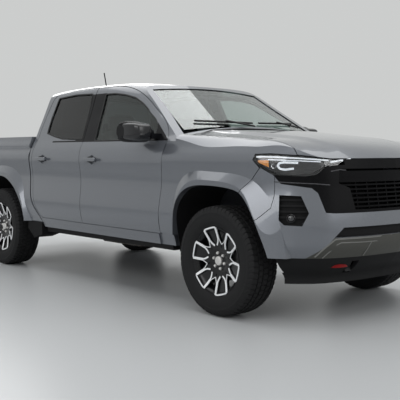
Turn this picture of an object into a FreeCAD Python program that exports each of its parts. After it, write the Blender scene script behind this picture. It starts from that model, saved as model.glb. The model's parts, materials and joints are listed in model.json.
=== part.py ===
import FreeCAD, Part
import os

vec = FreeCAD.Vector
doc = FreeCAD.newDocument("pickup_truck")

# Driving dimensions in millimetres: +X forward, +Y left, +Z up, the ground at z = 0
driving = {
    "body_length": 5415,
    "body_width": 1910,
    "body_height": 1803,
    "front_overhang": 907.5,
    "wheelbase": 3337,
    "track": 1656,
    "tyre_radius": 397,
    "tyre_width": 265,
    "rim_radius": 229,
    "panel_gap": 5,
    "rebate_gap": 16,
    "overrun": 400,
    "fender_wall": 14,
    "fascia_wall": 34,
    "hood_wall": 26,
    "flare_rise": 14,
    "flare_root": 780,
    "flare_foot": 880,
    "flare_slope": 0.75,
    "door_skin": 17,
    "swing_gap": 5,
    "door_frame": 46,
    "dish_radius": 90,
    "dish_deep": 15,
    "door_depth": 108,
    "door_inset": 40,
    "hinge_out": 4,
    "cab_wall": 64,
    "cab_side_wall": 150,
    "roof_wall": 40,
    "glass_wall": 5,
    "glass_inset": 8,
    "glass_gap": 1,
    "windshield_base": 1330,
    "windshield_bow": 100,
    "windshield_side": 720,
    "firewall_place": 1275,
    "firewall_wall": 30,
    "cab_back": -962,
    "cab_back_wall": 45,
    "cab_floor": 520,
    "cab_floor_wall": 26,
    "belt": 1262,
    "hood_side": 775,
    "hood_back": 1362,
    "hood_lip": 1131,
    "dome_rise": 13,
    "dome_fall": 110,
    "cowl_drop": 14,
    "cowl_wall": 16,
    "bed_front": -982,
    "bed_back": -2668,
    "bed_floor": 806,
    "bed_floor_wall": 22,
    "bed_wall": 62,
    "rail_top": 1323,
    "gate_wall": 62,
    "gate_top": 1314,
    "liner_radius": 518,
    "liner_wall": 5,
    "arch_tuck": 3,
    "liner_inner": 478,
    "seat_gap": 0.3,
    "hitch_bore": 51,
    "hitch_wall": 6.5,
    "hitch_pin": 16,
}
sheet = doc.addObject("Spreadsheet::Sheet", "Sizes")
for row, name in enumerate(driving, start=1):
    sheet.set(f"A{row}", name)
    sheet.set(f"B{row}", str(driving[name]))
    sheet.setAlias(f"B{row}", name)
doc.recompute()


# Every driving dimension read back from the sheet as size.name
class Sizes:
    pass


size = Sizes()
for name in driving:
    setattr(size, name, float(sheet.get(name)))

half_length = size.body_length / 2
half_width = size.body_width / 2
front_axle = half_length - size.front_overhang
rear_axle = front_axle - size.wheelbase
hub_height = size.tyre_radius
wheel_side = size.track / 2
reach = half_length + size.overrun
along_x = vec(1, 0, 0)
along_y = vec(0, 1, 0)
along_z = vec(0, 0, 1)
corner_way = vec(1, -1, 0).normalize()
nodes = {}


# Shares of the body's length, width and height turned into points
def atSide(shares):
    return [vec(x * size.body_length, 0, z * size.body_height) for x, z in shares]


def atCorner(shares):
    return [vec(x * size.body_length, y * size.body_width, z * size.body_height) for x, y, z in shares]


def atFront(shares):
    return [vec(0, y * size.body_width, z * size.body_height) for y, z in shares]


def atWheel(shares, axle):
    radius = size.tyre_radius
    return [vec(axle + x * radius, 0, hub_height + z * radius) for x, z in shares]


# A smooth line through a table of pairs, read at any place
def smooth(table, place):
    last = len(table) - 1
    if place <= table[0][0]:
        return table[0][1]
    if place >= table[last][0]:
        return table[last][1]
    low = max(index for index in range(last) if table[index][0] <= place)
    x0, y0 = table[low]
    x1, y1 = table[low + 1]
    slope = (y1 - y0) / (x1 - x0)
    before = slope
    after = slope
    if low > 0:
        before = (y1 - table[low - 1][1]) / (x1 - table[low - 1][0])
    if low < last - 1:
        after = (table[low + 2][1] - y0) / (table[low + 2][0] - x0)
    t = (place - x0) / (x1 - x0)
    rise = (3 * t ** 2 - 2 * t ** 3) * (y1 - y0)
    ease = (t ** 3 - 2 * t ** 2 + t) * before + (t ** 3 - t ** 2) * after
    return y0 + rise + ease * (x1 - x0)


# Places of points along their own line, from 0 to 1
def spacing(points):
    run = [0]
    for first, second in zip(points, points[1:]):
        run.append(run[-1] + first.distanceToPoint(second))
    return [step / run[-1] for step in run]


def curve(points, places=None):
    spline = Part.BSplineCurve()
    spline.interpolate(Points=points, Parameters=places or spacing(points))
    return spline.toShape()


# A closed wire from stretches: two points make a line, more make a smooth curve
def outline(stretches, places=None):
    edges = []
    for index, points in enumerate(stretches):
        following = stretches[(index + 1) % len(stretches)]
        if len(points) == 2:
            edges.append(Part.makeLine(points[0], points[1]))
        else:
            edges.append(curve(points, places and places[index]))
        if points[-1] != following[0]:
            edges.append(Part.makeLine(points[-1], following[0]))
    return Part.Wire(edges)


# A solid through closed sections that have the same stretches
def loftThrough(sections):
    places = [spacing(points) for points in sections[len(sections) // 2]]
    wires = [outline(section, places) for section in sections]
    return Part.makeLoft(wires, True, False, False, 3)


# The same stretches moved outward by a distance in their own plane
def grow(stretches, distance, normal=vec(0, 1, 0)):
    ring = []
    for points in stretches:
        ring += [point for point in points if point not in ring]
    count = len(ring)
    turn = sum(ring[index - 1].cross(ring[index]).dot(normal) for index in range(count))
    out = normal if turn > 0 else normal * -1
    moved = []
    for index, point in enumerate(ring):
        before = (point - ring[index - 1]).normalize().cross(out)
        after = (ring[(index + 1) % count] - point).normalize().cross(out)
        moved.append(point + (before + after) * (distance / (1 + before.dot(after))))
    return [[moved[ring.index(point)] for point in points] for points in stretches]


# Straight stretches from each point to the next, back to the first
def straight(points):
    return [[start, end] for start, end in zip(points, points[1:] + points[:1])]


# A prism that reaches both ways from an outline's plane
def prism(wire, direction, length):
    face = Part.Face(wire)
    face.translate(direction * (-length))
    return face.extrude(direction * (2 * length))


def rightSide():
    corner = vec(-reach, -reach, -size.overrun)
    return Part.makeBox(2 * reach, reach, reach, corner)


def sidePrism(stretches, distance=0):
    face = Part.Face(outline(grow(stretches, distance)))
    return face.extrude(along_y * (-reach))


def frontPrism(stretches, distance=0):
    return prism(outline(grow(stretches, distance, along_x)), along_x, reach)


def cornerPrism(points, distance=0):
    flat = [point - corner_way * point.dot(corner_way) for point in points]
    face = Part.Face(outline(grow(straight(flat), distance, corner_way)))
    return face.extrude(corner_way * reach)


def block(x0, x1, y0, y1, z0, z1):
    return Part.makeBox(x1 - x0, y1 - y0, z1 - z0, vec(x0, y0, z0))


def rod(start, end, radius):
    return Part.makeCylinder(radius, start.distanceToPoint(end), start, end - start)


def mirrored(shape):
    return shape.mirror(vec(0, 0, 0), along_y)


def joined(shapes):
    return shapes[0].fuse(shapes[1:]) if len(shapes) > 1 else shapes[0]


def keep(label, shape):
    item = doc.addObject("Part::Feature", label)
    item.Shape = shape
    item.Label = label
    nodes[label] = item


def keepPair(label, shape):
    keep(label + "_right", shape)
    keep(label + "_left", mirrored(shape))


# Points of a flat line moved to its inner side, which lies to the right of the way it runs
def insetLine(points, distance, last_way):
    moved = []
    last = len(points) - 1
    for index, (a, b) in enumerate(points):
        a0, b0 = points[max(index - 1, 0)]
        a1, b1 = points[min(index + 1, last)]
        way = vec(a1 - a0, b1 - b0, 0).normalize()
        if index == last:
            way = last_way
        moved.append((a + way.y * distance, b - way.x * distance))
    return moved


# Outer half width of the body by height, the ridge low on the doors and the shoulder included
side_shares = [(0.4534, 0.1387),(0.4607, 0.2108),(0.466, 0.2607),(0.4791, 0.3106),(0.488, 0.3882),(0.4827, 0.4437),(0.4759, 0.5103),
    (0.4785, 0.5657),(0.4822, 0.6101),(0.4775, 0.6434),(0.4686, 0.6711),(0.4545, 0.6999)]
# The cab above its belt, up to the middle of the roof
cab_top_shares = [(0.4445, 0.721),(0.423, 0.7765),(0.4005, 0.8319),(0.3791, 0.8874),(0.3581, 0.9429),(0.3461, 0.9662),
    (0.3272, 0.9811),(0.2958, 0.99),(0.2356, 0.9956),(0.1309, 0.9989),(0, 1)]
# Height of the roof's middle along the cab
roof_line_shares = [(-0.1939, 0.9806),(-0.1662, 0.9895),(-0.1145, 0.9972),(-0.0554, 1),(0, 0.9989),(0.0369, 0.995),
    (0.0739, 0.9872),(0.1108, 0.9745),(0.1385, 0.9623)]
# The bed's side above the shoulder
bed_top_shares = [(0.4733, 0.6767),(0.4649, 0.7099),(0.4586, 0.7338),(0.4545, 0.7598)]
# How far the side draws in towards the tail
tail_shares = ((-0.5078, 0.955), (-0.4617, 0.972), (-0.4063, 0.988), (-0.3324, 0.998), (-0.2585, 1))
# Points of the cab's section that belong to its side, and all of them
cab_side_count = 7
cab_top_count = len(cab_top_shares)


def sideWidth(table, z):
    return smooth([(z_share, y_share) for y_share, z_share in table], z / size.body_height) * size.body_width


def cabPoints(x, inset):
    belt = size.belt
    top = smooth(roof_line_shares, x / size.body_length) * size.body_height
    stretch = (top - belt) / (size.body_height - belt)
    points = []
    for y_share, z_share in side_shares:
        z = z_share * size.body_height
        points.append((-sideWidth(side_shares, z), z))
    for y_share, z_share in cab_top_shares:
        z = belt + (z_share * size.body_height - belt) * stretch
        points.append((-y_share * size.body_width, z))
    return insetLine(points, inset, vec(1, 0, 0))


def cabVolume(inset=0):
    sections = []
    for share in cab_stations_shares:
        x = share * size.body_length
        right = [vec(x, y, z) for y, z in cabPoints(x, inset)]
        left = [vec(x, -point.y, point.z) for point in reversed(right[:-1])]
        sections.append([right + left])
    return loftThrough(sections)


# A wall of the cab's right half from one depth under the skin to another, deeper below the belt
def cabSlab(near, deep, deep_low=None, top_count=cab_side_count):
    sections = []
    for share in cab_stations_shares:
        x = share * size.body_length
        last = len(side_shares) + top_count
        outer = [vec(x, y, z) for y, z in cabPoints(x, near)[:last]]
        inner = [vec(x, y, z) for y, z in cabPoints(x, deep)[:last]]
        if deep_low:
            lower = [vec(x, y, z) for y, z in cabPoints(x, deep_low)[:last]]
            inner = lower[:len(side_shares) - 1] + inner[len(side_shares):]
        inner.reverse()
        sections.append([outer, inner])
    return loftThrough(sections)


cab_stations_shares = (-0.1921, -0.1385, -0.0739, -0.0092, 0.0554, 0.1108, 0.1662, 0.2124, 0.2678)


def bedVolume(inset=0):
    table = side_shares[:-1] + bed_top_shares
    sections = []
    for share in bed_stations_shares:
        x = share * size.body_length
        narrow = smooth(tail_shares, share)
        section = []
        for y_share, z_share in table:
            z = z_share * size.body_height
            section.append((-sideWidth(table, z) * narrow, z))
        right = [vec(x, y, z) for y, z in insetLine(section, inset, vec(0, 1, 0))]
        left = [vec(x, -point.y, point.z) for point in reversed(right)]
        sections.append([right, left])
    return loftThrough(sections)


bed_stations_shares = tuple(-0.5097 + 0.065 * index for index in range(7))

# Plan of the nose from the door to the middle: shares of the way forward and of the half width
nose_plan_shares = ((0, 1), (0.12, 1), (0.24, 1), (0.36, 1), (0.48, 1), (0.58, 1), (0.64, 1), (0.69, 0.998), (0.73, 0.988), (0.775, 0.958), (0.82, 0.915),
    (0.888, 0.812), (0.934, 0.706), (0.967, 0.543), (0.989, 0.326), (1, 0))
# Place of the nose's middle by height
nose_reach_shares = [(0.4617, 0.1331),(0.47, 0.1664),(0.4801, 0.2108),(0.4922, 0.2551),(0.5, 0.3106),(0.4995, 0.3661),(0.4982, 0.4215),
    (0.4957, 0.477),(0.4927, 0.5324),(0.4903, 0.5824),(0.487, 0.6323),(0.4824, 0.6877),(0.4746, 0.7654)]
nose_levels_shares = (0.1331, 0.1719, 0.2108, 0.2496, 0.2829, 0.3161, 0.3494, 0.3882, 0.4271, 0.4659,
    0.4992, 0.5269, 0.5546, 0.5824, 0.6101, 0.6434, 0.6877, 0.7432)
nose_root_share = 0.1939


def nosePlan(level, inset):
    root = nose_root_share * size.body_length
    reach_table = [(z_share, x_share) for x_share, z_share in nose_reach_shares]
    z = level * size.body_height
    tip = smooth(reach_table, level) * size.body_length
    plan = []
    for x_share, y_share in nose_plan_shares:
        x = root + (tip - root) * x_share
        plan.append((x, -sideWidth(side_shares, z) * y_share))
    return [vec(x, y, z) for x, y in insetLine(plan, -inset, vec(0, 1, 0))]


# The right half of everything inside the nose's skin
def noseHalf(inset=0):
    sections = []
    for level in nose_levels_shares:
        line = nosePlan(level, inset)
        middle = vec(line[0].x, 0, line[0].z)
        sections.append([line, [line[-1], middle], [middle, line[0]]])
    return loftThrough(sections)


# A wall of the nose's right half from one depth to another
def noseSlab(near, deep):
    sections = []
    for level in nose_levels_shares:
        sections.append([nosePlan(level, near), nosePlan(level, deep)[::-1]])
    return loftThrough(sections)


# The front's top surface: heights at the middle, at the hood's side and at the fender's crease
hood_middle_shares = [(0.1939, 0.7698),(0.2401, 0.7587),(0.2862, 0.7443),(0.3324, 0.7293),(0.3786, 0.7144),(0.4155, 0.6999),
    (0.4432, 0.6866),(0.4617, 0.6722),(0.4765, 0.6517),(0.4894, 0.6223),(0.5078, 0.5713)]
hood_side_shares = [(0.1939, 0.7349),(0.2401, 0.7266),(0.2862, 0.716),(0.3324, 0.7088),(0.3786, 0.7016),(0.4155, 0.6911),
    (0.434, 0.675),(0.4469, 0.6567),(0.4617, 0.6256),(0.4801, 0.5713),(0.5078, 0.4714)]
fender_crease_shares = [(0.1939, 0.7116),(0.2308, 0.6999),(0.277, 0.6778),(0.3139, 0.6656),(0.3693, 0.6705),(0.4063, 0.6639),
    (0.434, 0.6478),(0.4617, 0.5879),(0.5078, 0.3993)]
top_stations_shares = (0.1847, 0.2216, 0.2622, 0.3047, 0.3472, 0.3878, 0.4155, 0.4358, 0.4543,
    0.4691, 0.482, 0.4949, 0.5097)
top_across_shares = (0, 0.1047, 0.1675, 0.2042, 0.2356, 0.267, 0.2984, 0.3298, 0.3665, 0.3927, 0.4136, 0.4346, 0.4555, 0.4764,
    0.5026, 0.534)
crease_side_share = 0.4686
# The raised middle of the hood: where its side lies and how much of it there is along the hood
dome_side_shares = ((0.2401, 0.2958), (0.3693, 0.2749), (0.4524, 0.2487))
dome_fade_shares = ((0.1847, 1), (0.4063, 1), (0.4524, 0.5), (0.4801, 0))
# How steeply the fender's top falls off outside the crease
fall_shares = ((0.1939, 2.5), (0.2308, 2.35), (0.277, 1.8), (0.3232, 1.5), (0.5078, 1.5))


def topHeight(x, y, inset):
    along = x / size.body_length
    middle = smooth([(a, b) for a, b in hood_middle_shares], along)
    side = smooth([(a, b) for a, b in hood_side_shares], along)
    crease = smooth([(a, b) for a, b in fender_crease_shares], along)
    out = y / size.hood_side
    drop = (middle - side) * min(out, 1) ** 2.4
    if out > 1:
        past = (y - size.hood_side) / (crease_side_share * size.body_width - size.hood_side)
        drop = middle - side + (side - crease) * past ** smooth(fall_shares, along)
    dome_side = smooth(dome_side_shares, along) * size.body_width
    dome = min(max((dome_side + size.dome_fall / 2 - y) / size.dome_fall, 0), 1)
    dome_rise = size.dome_rise * smooth(dome_fade_shares, along) * dome ** 2 * (3 - 2 * dome)
    return (middle - drop) * size.body_height + dome_rise - inset


def topLine(share, inset):
    x = share * size.body_length
    line = []
    for y_share in reversed(top_across_shares):
        y = y_share * size.body_width
        line.append(vec(x, -y, topHeight(x, y, inset)))
    return line


# The right half of everything under the front's top surface
def topHalf(inset=0):
    sections = []
    for share in top_stations_shares:
        line = topLine(share, inset)
        low_middle = vec(line[-1].x, 0, 0)
        low_side = vec(line[0].x, line[0].y, 0)
        sections.append([line, [low_middle, low_side]])
    return loftThrough(sections)


def topSlab(near, deep):
    return loftThrough([[topLine(share, near), topLine(share, deep)[::-1]] for share in top_stations_shares])


# Everything behind the windshield's bowed and raked surface, moved back by a distance
def windshieldVolume(back=0):
    side = size.windshield_side
    points = []
    for share in (-1.6, -1.2, -0.8, -0.4, 0, 0.4, 0.8, 1.2, 1.6):
        bow = size.windshield_bow * (1 - share ** 2)
        x = size.windshield_base - size.windshield_bow + bow - back
        points.append(vec(x, share * side, base_height))
    rear = size.cab_back * 3
    ends = [vec(rear, points[-1].y, base_height), vec(rear, points[0].y, base_height)]
    lines = [Part.makeLine(points[-1], ends[0]), Part.makeLine(ends[0], ends[1]), Part.makeLine(ends[1], points[0])]
    face = Part.Face(Part.Wire([curve(points)] + lines))
    lean = vec(-windshield_rake, 0, 1)
    face.translate(lean * (-base_height))
    return face.extrude(lean * (size.body_height + base_height))


base_height = 0.7377 * size.body_height
windshield_rake = 1.68

# Outlines in the side view
split_shares = [(-0.0014, 0.2995),(-0.0055, 0.4992),(-0.0107, 0.6933),(-0.016, 0.8319),(-0.0202, 0.9429),(-0.0214, 0.9745)]
front_door_top_shares = [(0.0081, 0.9745),(0.0609, 0.9639),(0.0896, 0.9451),(0.1307, 0.8941),(0.1681, 0.8303),(0.2004, 0.7698),
    (0.2105, 0.7316)]
front_door_edge_shares = [(0.2105, 0.7316),(0.2142, 0.6889),(0.2133, 0.6406),(0.2105, 0.5297),(0.2079, 0.2995)]
rear_door_edge_shares = [(-0.135, 0.3023),(-0.1592, 0.3938),(-0.1677, 0.5103),(-0.169, 0.6101),(-0.1671, 0.721),(-0.1662, 0.8319),
    (-0.1607, 0.9318)]
rear_door_top_shares = [(-0.1607, 0.9318),(-0.1477, 0.9639),(-0.1093, 0.975),(-0.0499, 0.9784)]
front_window_top_shares = [(0.0102, 0.9373),(0.0369, 0.9362),(0.0665, 0.9251),(0.096, 0.9063),(0.12, 0.8763),(0.1548, 0.8197),
    (0.1754, 0.7793),(0.1806, 0.7432)]
rear_window_edge_shares = [(-0.1405, 0.7504),(-0.145, 0.8347),(-0.1422, 0.9401)]
rear_window_top_shares = [(-0.1422, 0.9401),(-0.0866, 0.9495),(-0.0323, 0.9456)]
rear_window_front_shares = [(-0.0323, 0.9456),(-0.0225, 0.8319),(-0.0163, 0.7155)]
rear_window_low_shares = [(-0.0163, 0.7155),(-0.0792, 0.7171),(-0.1119, 0.7321),(-0.1405, 0.7504)]
front_arch_shares = [(-1.2141, -0.005),(-1.1788, 0.6625),(-1.1134, 0.9798),(-0.8942, 1.2242),(-0.6045, 1.33),(-0.2166, 1.3552),
    (0.3401, 1.3249),(0.6524, 1.2393),(0.8186, 1.0831),(1.0504, 0.6927),(1.2393, 0.2317),(1.3149, -0.0907)]
rear_arch_shares = [(1.2393, 0.0076),(1.2015, 0.5113),(1.0176, 0.7935),(0.7834, 1.0453),(0.4836, 1.2292),(0.2443, 1.3123),
    (-0.0579, 1.3375),(-0.461, 1.2796),(-0.7884, 1.1411),(-1.0403, 0.9018),(-1.2166, 0.5113),(-1.2922, 0.0076)]
cab_edge_shares = [(-0.1777, 0.6933),(-0.1764, 0.6101),(-0.1751, 0.5103),(-0.1666, 0.3938),(-0.1424, 0.3023),(-0.1339, 0.2385)]



# A point above the belt moved back, since a door's upper edge swings back before it is clear
def swingRoom(point):
    share = max((point.z - size.belt) / (size.body_height - size.belt), 0)
    return point - along_x * (size.swing_gap * share)


half_gap = vec(size.panel_gap / 2, 0, 0)
split_line = atSide(split_shares)
front_split = [point + half_gap for point in split_line]
rear_split = [swingRoom(point) - half_gap for point in reversed(split_line)]
front_door_line = [front_split, [front_split[-1]] + atSide(front_door_top_shares), atSide(front_door_edge_shares)]
rear_edge_line = atSide(rear_door_edge_shares)
rear_top_line = atSide(rear_door_top_shares)
rear_door_line = [rear_split, rear_edge_line, rear_top_line + [rear_split[0]]]
rear_opening_line = [rear_split, [swingRoom(point) for point in rear_edge_line],
    [swingRoom(point) for point in rear_top_line[:2]] + rear_top_line[2:] + [rear_split[0]]]
window_foot = atSide([(0.1819, 0.7055),(0.0233, 0.7055)])
front_window_line = [atSide(front_window_top_shares), window_foot]
rear_window_line = [atSide(rear_window_edge_shares), atSide(rear_window_top_shares),
    atSide(rear_window_front_shares), atSide(rear_window_low_shares)]
front_arch_line = [atWheel(front_arch_shares, front_axle)]
rear_arch_line = [atWheel(rear_arch_shares, rear_axle)]
low = size.overrun



# The swell round a wheel's arch: a sloped band from the body's side out to the arch's edge
def flareShape(crease, edge):
    foot = [a + (a - b) * size.flare_slope for a, b in zip(crease, edge)]
    rings = []
    for points, side in ((foot, size.flare_root), (foot, size.flare_foot), (edge, half_width)):
        rings.append(outline([[point - along_y * side for point in points]]))
    return Part.makeLoft(rings, True, True)


front_crease = atSide([(0.2331, 0.1109),(0.2331, 0.2496),(0.2355, 0.3882),(0.2416, 0.4709),(0.2523, 0.5241),(0.2646, 0.5568),(0.2789, 0.5735),
    (0.3184, 0.5757),(0.3553, 0.5707),(0.3815, 0.558),(0.3972, 0.5374),(0.407, 0.5031),(0.4229, 0.3993),(0.4349, 0.2773),(0.4404, 0.1109)])
front_edge = atSide([(0.2423, 0.1109),(0.2423, 0.2496),(0.2456, 0.3771),(0.2526, 0.4493),(0.2622, 0.4908),(0.2733, 0.5186),(0.2881, 0.5352),
    (0.3184, 0.5391),(0.3509, 0.5341),(0.3712, 0.5214),(0.385, 0.4992),(0.3943, 0.4659),(0.409, 0.3716),(0.4247, 0.2607),(0.4312, 0.1109)])
rear_crease = atSide([(-0.1819, 0.1109),(-0.1819, 0.2496),(-0.1865, 0.3661),(-0.1976, 0.4437),(-0.2142, 0.5075),(-0.2364, 0.5519),(-0.2622, 0.5713),
    (-0.2881, 0.5746),(-0.3195, 0.563),(-0.349, 0.5297),(-0.3712, 0.477),(-0.385, 0.3882),(-0.3897, 0.2496),(-0.3897, 0.1109)])
rear_edge = atSide([(-0.1911, 0.1109),(-0.1911, 0.2496),(-0.1954, 0.3494),(-0.2054, 0.416),(-0.2216, 0.4714),(-0.2419, 0.513),(-0.265, 0.5324),
    (-0.2881, 0.5358),(-0.3158, 0.5247),(-0.3416, 0.4953),(-0.3629, 0.4465),(-0.3753, 0.3716),(-0.3804, 0.2496),(-0.3804, 0.1109)])
front_limit = [vec(x * size.body_length, y * size.body_width, 0) for x, y in [(0.3693, -0.5),(0.3989, -0.5),(0.4137, -0.4948),
    (0.4266, -0.4806),(0.4377, -0.4607),(0.4506, -0.4293)]]
limit_back = [front_limit[-1], vec(front_limit[-1].x, 0, 0), vec(0, 0, 0), vec(0, -half_width, 0)]
limit_ends = [[a, b] for a, b in zip(limit_back, limit_back[1:])]
limit_face = Part.Face(outline([front_limit] + limit_ends + [[limit_back[-1], front_limit[0]]]))
front_flare = flareShape(front_crease, front_edge).common(limit_face.extrude(along_z * size.body_height))
rear_flare = flareShape(rear_crease, rear_edge)

# The walls that the doors are cut from
cab_all = cabVolume()
cab_glazing = windshieldVolume()
right_side = rightSide()
skin_slab = cabSlab(0, size.door_skin)
inner_slab = cabSlab(size.door_skin / 2, size.door_frame, size.door_depth)
glass_slab = cabSlab(size.glass_inset, size.glass_inset + size.glass_wall)


# A door: its skin over a smaller inner shell, deep below the belt, with the window cut out
def doorShape(line, window):
    skin = skin_slab.common(sidePrism(line))
    inner = inner_slab.common(sidePrism(line, -size.door_inset))
    pane = sidePrism(window)
    return skin.cut(pane).fuse(inner.cut(pane))


def glassShape(window):
    return glass_slab.common(sidePrism(window, -size.seat_gap))


handle_wall = 0.0177 * size.body_height
handle_out = 0.5016 * size.body_width
handle_in = 0.4932 * size.body_width
handle_seat = 0.4712 * size.body_width
handle_round = 0.0039 * size.body_height


# A pull handle: a bar that stands off the door on its two ends
def handleShape(start, length, height):
    low_edge = height - handle_wall / 2
    high_edge = height + handle_wall / 2
    bar = block(start, start + length, -handle_out, -handle_in, low_edge, high_edge)
    bar = bar.makeFillet(handle_round, bar.Edges)
    feet = []
    for place in (start + handle_round, start + length - handle_wall - handle_round):
        low_foot = low_edge + handle_round
        feet.append(block(place, place + handle_wall, -handle_in - handle_round, -handle_seat, low_foot,
            high_edge - handle_round))
    return bar.fuse(feet)


# A round dish in the door's skin behind a handle
def handleDish(start):
    radius = size.dish_radius
    middle = vec(start + handle_length / 2, -0.4827 * size.body_width + size.dish_deep - radius, handle_height)
    return Part.makeSphere(radius, middle)


handle_height = 0.614 * size.body_height
handle_length = 0.0351 * size.body_length
front_handle = 0.0129 * size.body_length
rear_handle = -0.1468 * size.body_length
front_door = doorShape(front_door_line, front_window_line)
front_door = front_door.cut(handleDish(front_handle))
front_door = front_door.fuse(handleShape(front_handle, handle_length, handle_height))
rear_door = doorShape(rear_door_line, rear_window_line)
rear_door = rear_door.cut(handleDish(rear_handle))
rear_door = rear_door.fuse(handleShape(rear_handle, handle_length, handle_height))
keepPair("front_door", front_door)
keepPair("rear_door", rear_door)
keepPair("front_door_glass", glassShape(front_window_line))
keepPair("rear_door_glass", glassShape(rear_window_line))

# Door mirrors: a swept head on a foot at the front corner of the window
mirror_low = 0.6999 * size.body_height
mirror_round = 0.0155 * size.body_height
mirror_shares = ((-0.4738, 0.1625, 0.1921, 0.7033, 0.761), (-0.4974, 0.1584, 0.1932, 0.6977, 0.772),
    (-0.5236, 0.1544, 0.1887, 0.6966, 0.7765), (-0.5497, 0.15, 0.1782, 0.6999, 0.7754),
    (-0.567, 0.1477, 0.1625, 0.711, 0.7676))
mirror_rings = []
for side, back, front, low_edge, high_edge in mirror_shares:
    x0 = back * size.body_length
    x1 = front * size.body_length
    z0 = low_edge * size.body_height
    z1 = high_edge * size.body_height
    corner = min(mirror_round, (x1 - x0) / 4)
    ring = [(x0, z0 + corner / 2), (x0, z1 - corner / 2), (x0 + corner / 2, z1), (x1 - corner * 1.6, z1 - corner / 8),
        (x1 - corner / 3, z1 - corner), (x1, (z0 + z1) / 2), (x1 - corner / 3, z0 + corner), (x1 - corner * 1.6, z0 + corner / 8),
        (x0 + corner / 2, z0)]
    mirror_rings.append([[vec(x, side * size.body_width, z) for x, z in ring]])
mirror_head = loftThrough(mirror_rings)
mirror_foot = block(0.1847 * size.body_length, 0.1943 * size.body_length, -0.4895 * size.body_width,
    -0.4188 * size.body_width, mirror_low + mirror_round / 2, mirror_low + mirror_round * 2)
mirror = mirror_head.fuse(mirror_foot).cut(cabSlab(-size.seat_gap, size.cab_wall))
keepPair("mirror", mirror)

# The cab's right half: roof, pillars, sill, floor, firewall and back wall, then both halves
roof_top = size.body_height + low
sill_low = 0.2507 * size.body_height
tunnel_side = 0.3901 * size.body_width
floor_top = size.cab_floor + size.cab_floor_wall
cab_box = block(size.cab_back, size.firewall_place, -reach, 0, sill_low, roof_top)
shell = cabSlab(0, size.cab_wall, None, cab_top_count).common(cab_box)
inside = cabVolume(size.cab_wall / 2)
sill = inside.common(block(size.cab_back, size.firewall_place, -reach, -tunnel_side, sill_low, floor_top))
floor = inside.common(block(size.cab_back, size.firewall_place, -reach, 0, size.cab_floor, floor_top))
wall_front = size.firewall_place - size.firewall_wall
firewall = inside.common(block(wall_front, size.firewall_place, -reach, 0, size.cab_floor, roof_top))
back_wall_end = size.cab_back + size.cab_back_wall
back_wall = inside.common(block(size.cab_back, back_wall_end, -reach, 0, size.cab_floor, roof_top))
rear_window_low = atFront([(-0.3063, 0.7626),(0.3063, 0.7626)])
rear_window_high = atFront([(0.2775, 0.929),(0, 0.9429),(-0.2775, 0.929)])
back_line = [rear_window_low, rear_window_high]
back_wall = back_wall.cut(frontPrism(back_line))
half_cab = shell.fuse([sill, floor, firewall, back_wall])
half_cab = half_cab.common(cab_glazing)
rebate_slab = cabSlab(-size.flare_rise, size.door_skin + size.seat_gap)
way_in = block(-reach, reach, -reach, -0.2356 * size.body_width, -low, roof_top)
openings = []
for line in (front_door_line, rear_opening_line):
    openings.append(rebate_slab.common(sidePrism(line, size.panel_gap)))
    openings.append(sidePrism(line, size.rebate_gap - size.door_inset).common(way_in))
rear_corner = [atSide(cab_edge_shares), atSide([(-0.2401, 0.2385),(-0.2401, 0.6933)])]
openings.append(sidePrism(rear_corner).common(block(-reach, reach, -reach, -tunnel_side, -low, roof_top)))
fender_room = size.fender_wall + size.seat_gap
behind_fender = straight(atSide([(0.2031, 0.2219),(0.2955, 0.2219),(0.2955, 0.6961),(0.2031, 0.6961)]))
fender_zone = sidePrism(behind_fender).cut(sidePrism(front_door_line, size.panel_gap))
openings.append(fender_zone.cut(noseHalf(fender_room).common(topHalf(fender_room))))
windshield_low = atFront([(-0.378, 0.7465),(-0.1885, 0.7632),(0, 0.7698),(0.1885, 0.7632),(0.378, 0.7465)])
windshield_top = atFront([(0.3173, 0.944),(0.1571, 0.9562),(0, 0.9601),(-0.1571, 0.9562),(-0.3173, 0.944)])
windshield_line = [windshield_low, windshield_top]
ahead = block(0, reach, -reach, reach, 0, roof_top)
openings.append(frontPrism(windshield_line).common(ahead))
for opening in openings:
    half_cab = half_cab.cut(opening)
cab = half_cab.fuse(mirrored(half_cab))
glass_back = size.glass_inset * windshield_rake
glass_deep = glass_back + size.glass_wall * windshield_rake
windshield = windshieldVolume(glass_back).cut(windshieldVolume(glass_deep))
windshield = windshield.common(frontPrism(windshield_line, -size.seat_gap)).common(ahead)
pane_place = size.cab_back + size.glass_inset
pane = block(pane_place, pane_place + size.glass_wall, -reach, reach, 0, roof_top)
keep("cab", cab)
keep("windshield", windshield)
keep("rear_window", pane.common(frontPrism(back_line, -size.seat_gap)))

# The front's panels, all cut from the nose's and the top's walls
nose_thick = noseSlab(0, size.fascia_wall)
nose_solid = noseHalf()
top_solid = topHalf()
lamp_shares = [(0.3993, -0.4874, 0.6212),(0.4028, -0.4843, 0.6423),(0.4212, -0.4623, 0.6445),(0.4504, -0.4026, 0.6373),
    (0.4694, -0.3267, 0.6262),(0.4777, -0.2665, 0.6167),(0.4753, -0.2916, 0.6007),(0.4705, -0.3298, 0.599),(0.4657, -0.3618, 0.5679),
    (0.4578, -0.3932, 0.5613),(0.4251, -0.4628, 0.5657),(0.4081, -0.4812, 0.5935)]
lamp_line = atCorner(lamp_shares)
arch_cut = sidePrism(front_arch_line).fuse(sidePrism(straight(atSide([(0.2434, 0.1109),(0.4288, 0.1109),(0.4259, 0.2329),
    (0.2438, 0.2329)]))))
fender_line = straight(atSide([(0.1939, 0.3028),(0.3693, 0.3028),(0.3777, 0.4964),(0.4085, 0.5957),(0.4247, 0.6045),(0.4875, 0.6045),
    (0.4875, 0.7765),(0.1939, 0.7765)]))
hood_room = size.hood_side + size.panel_gap
outside_hood = block(-reach, reach, -reach, -hood_room, -low, roof_top)
fender_region = sidePrism(fender_line).common(outside_hood).cut(sidePrism(front_door_line, size.panel_gap))
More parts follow.
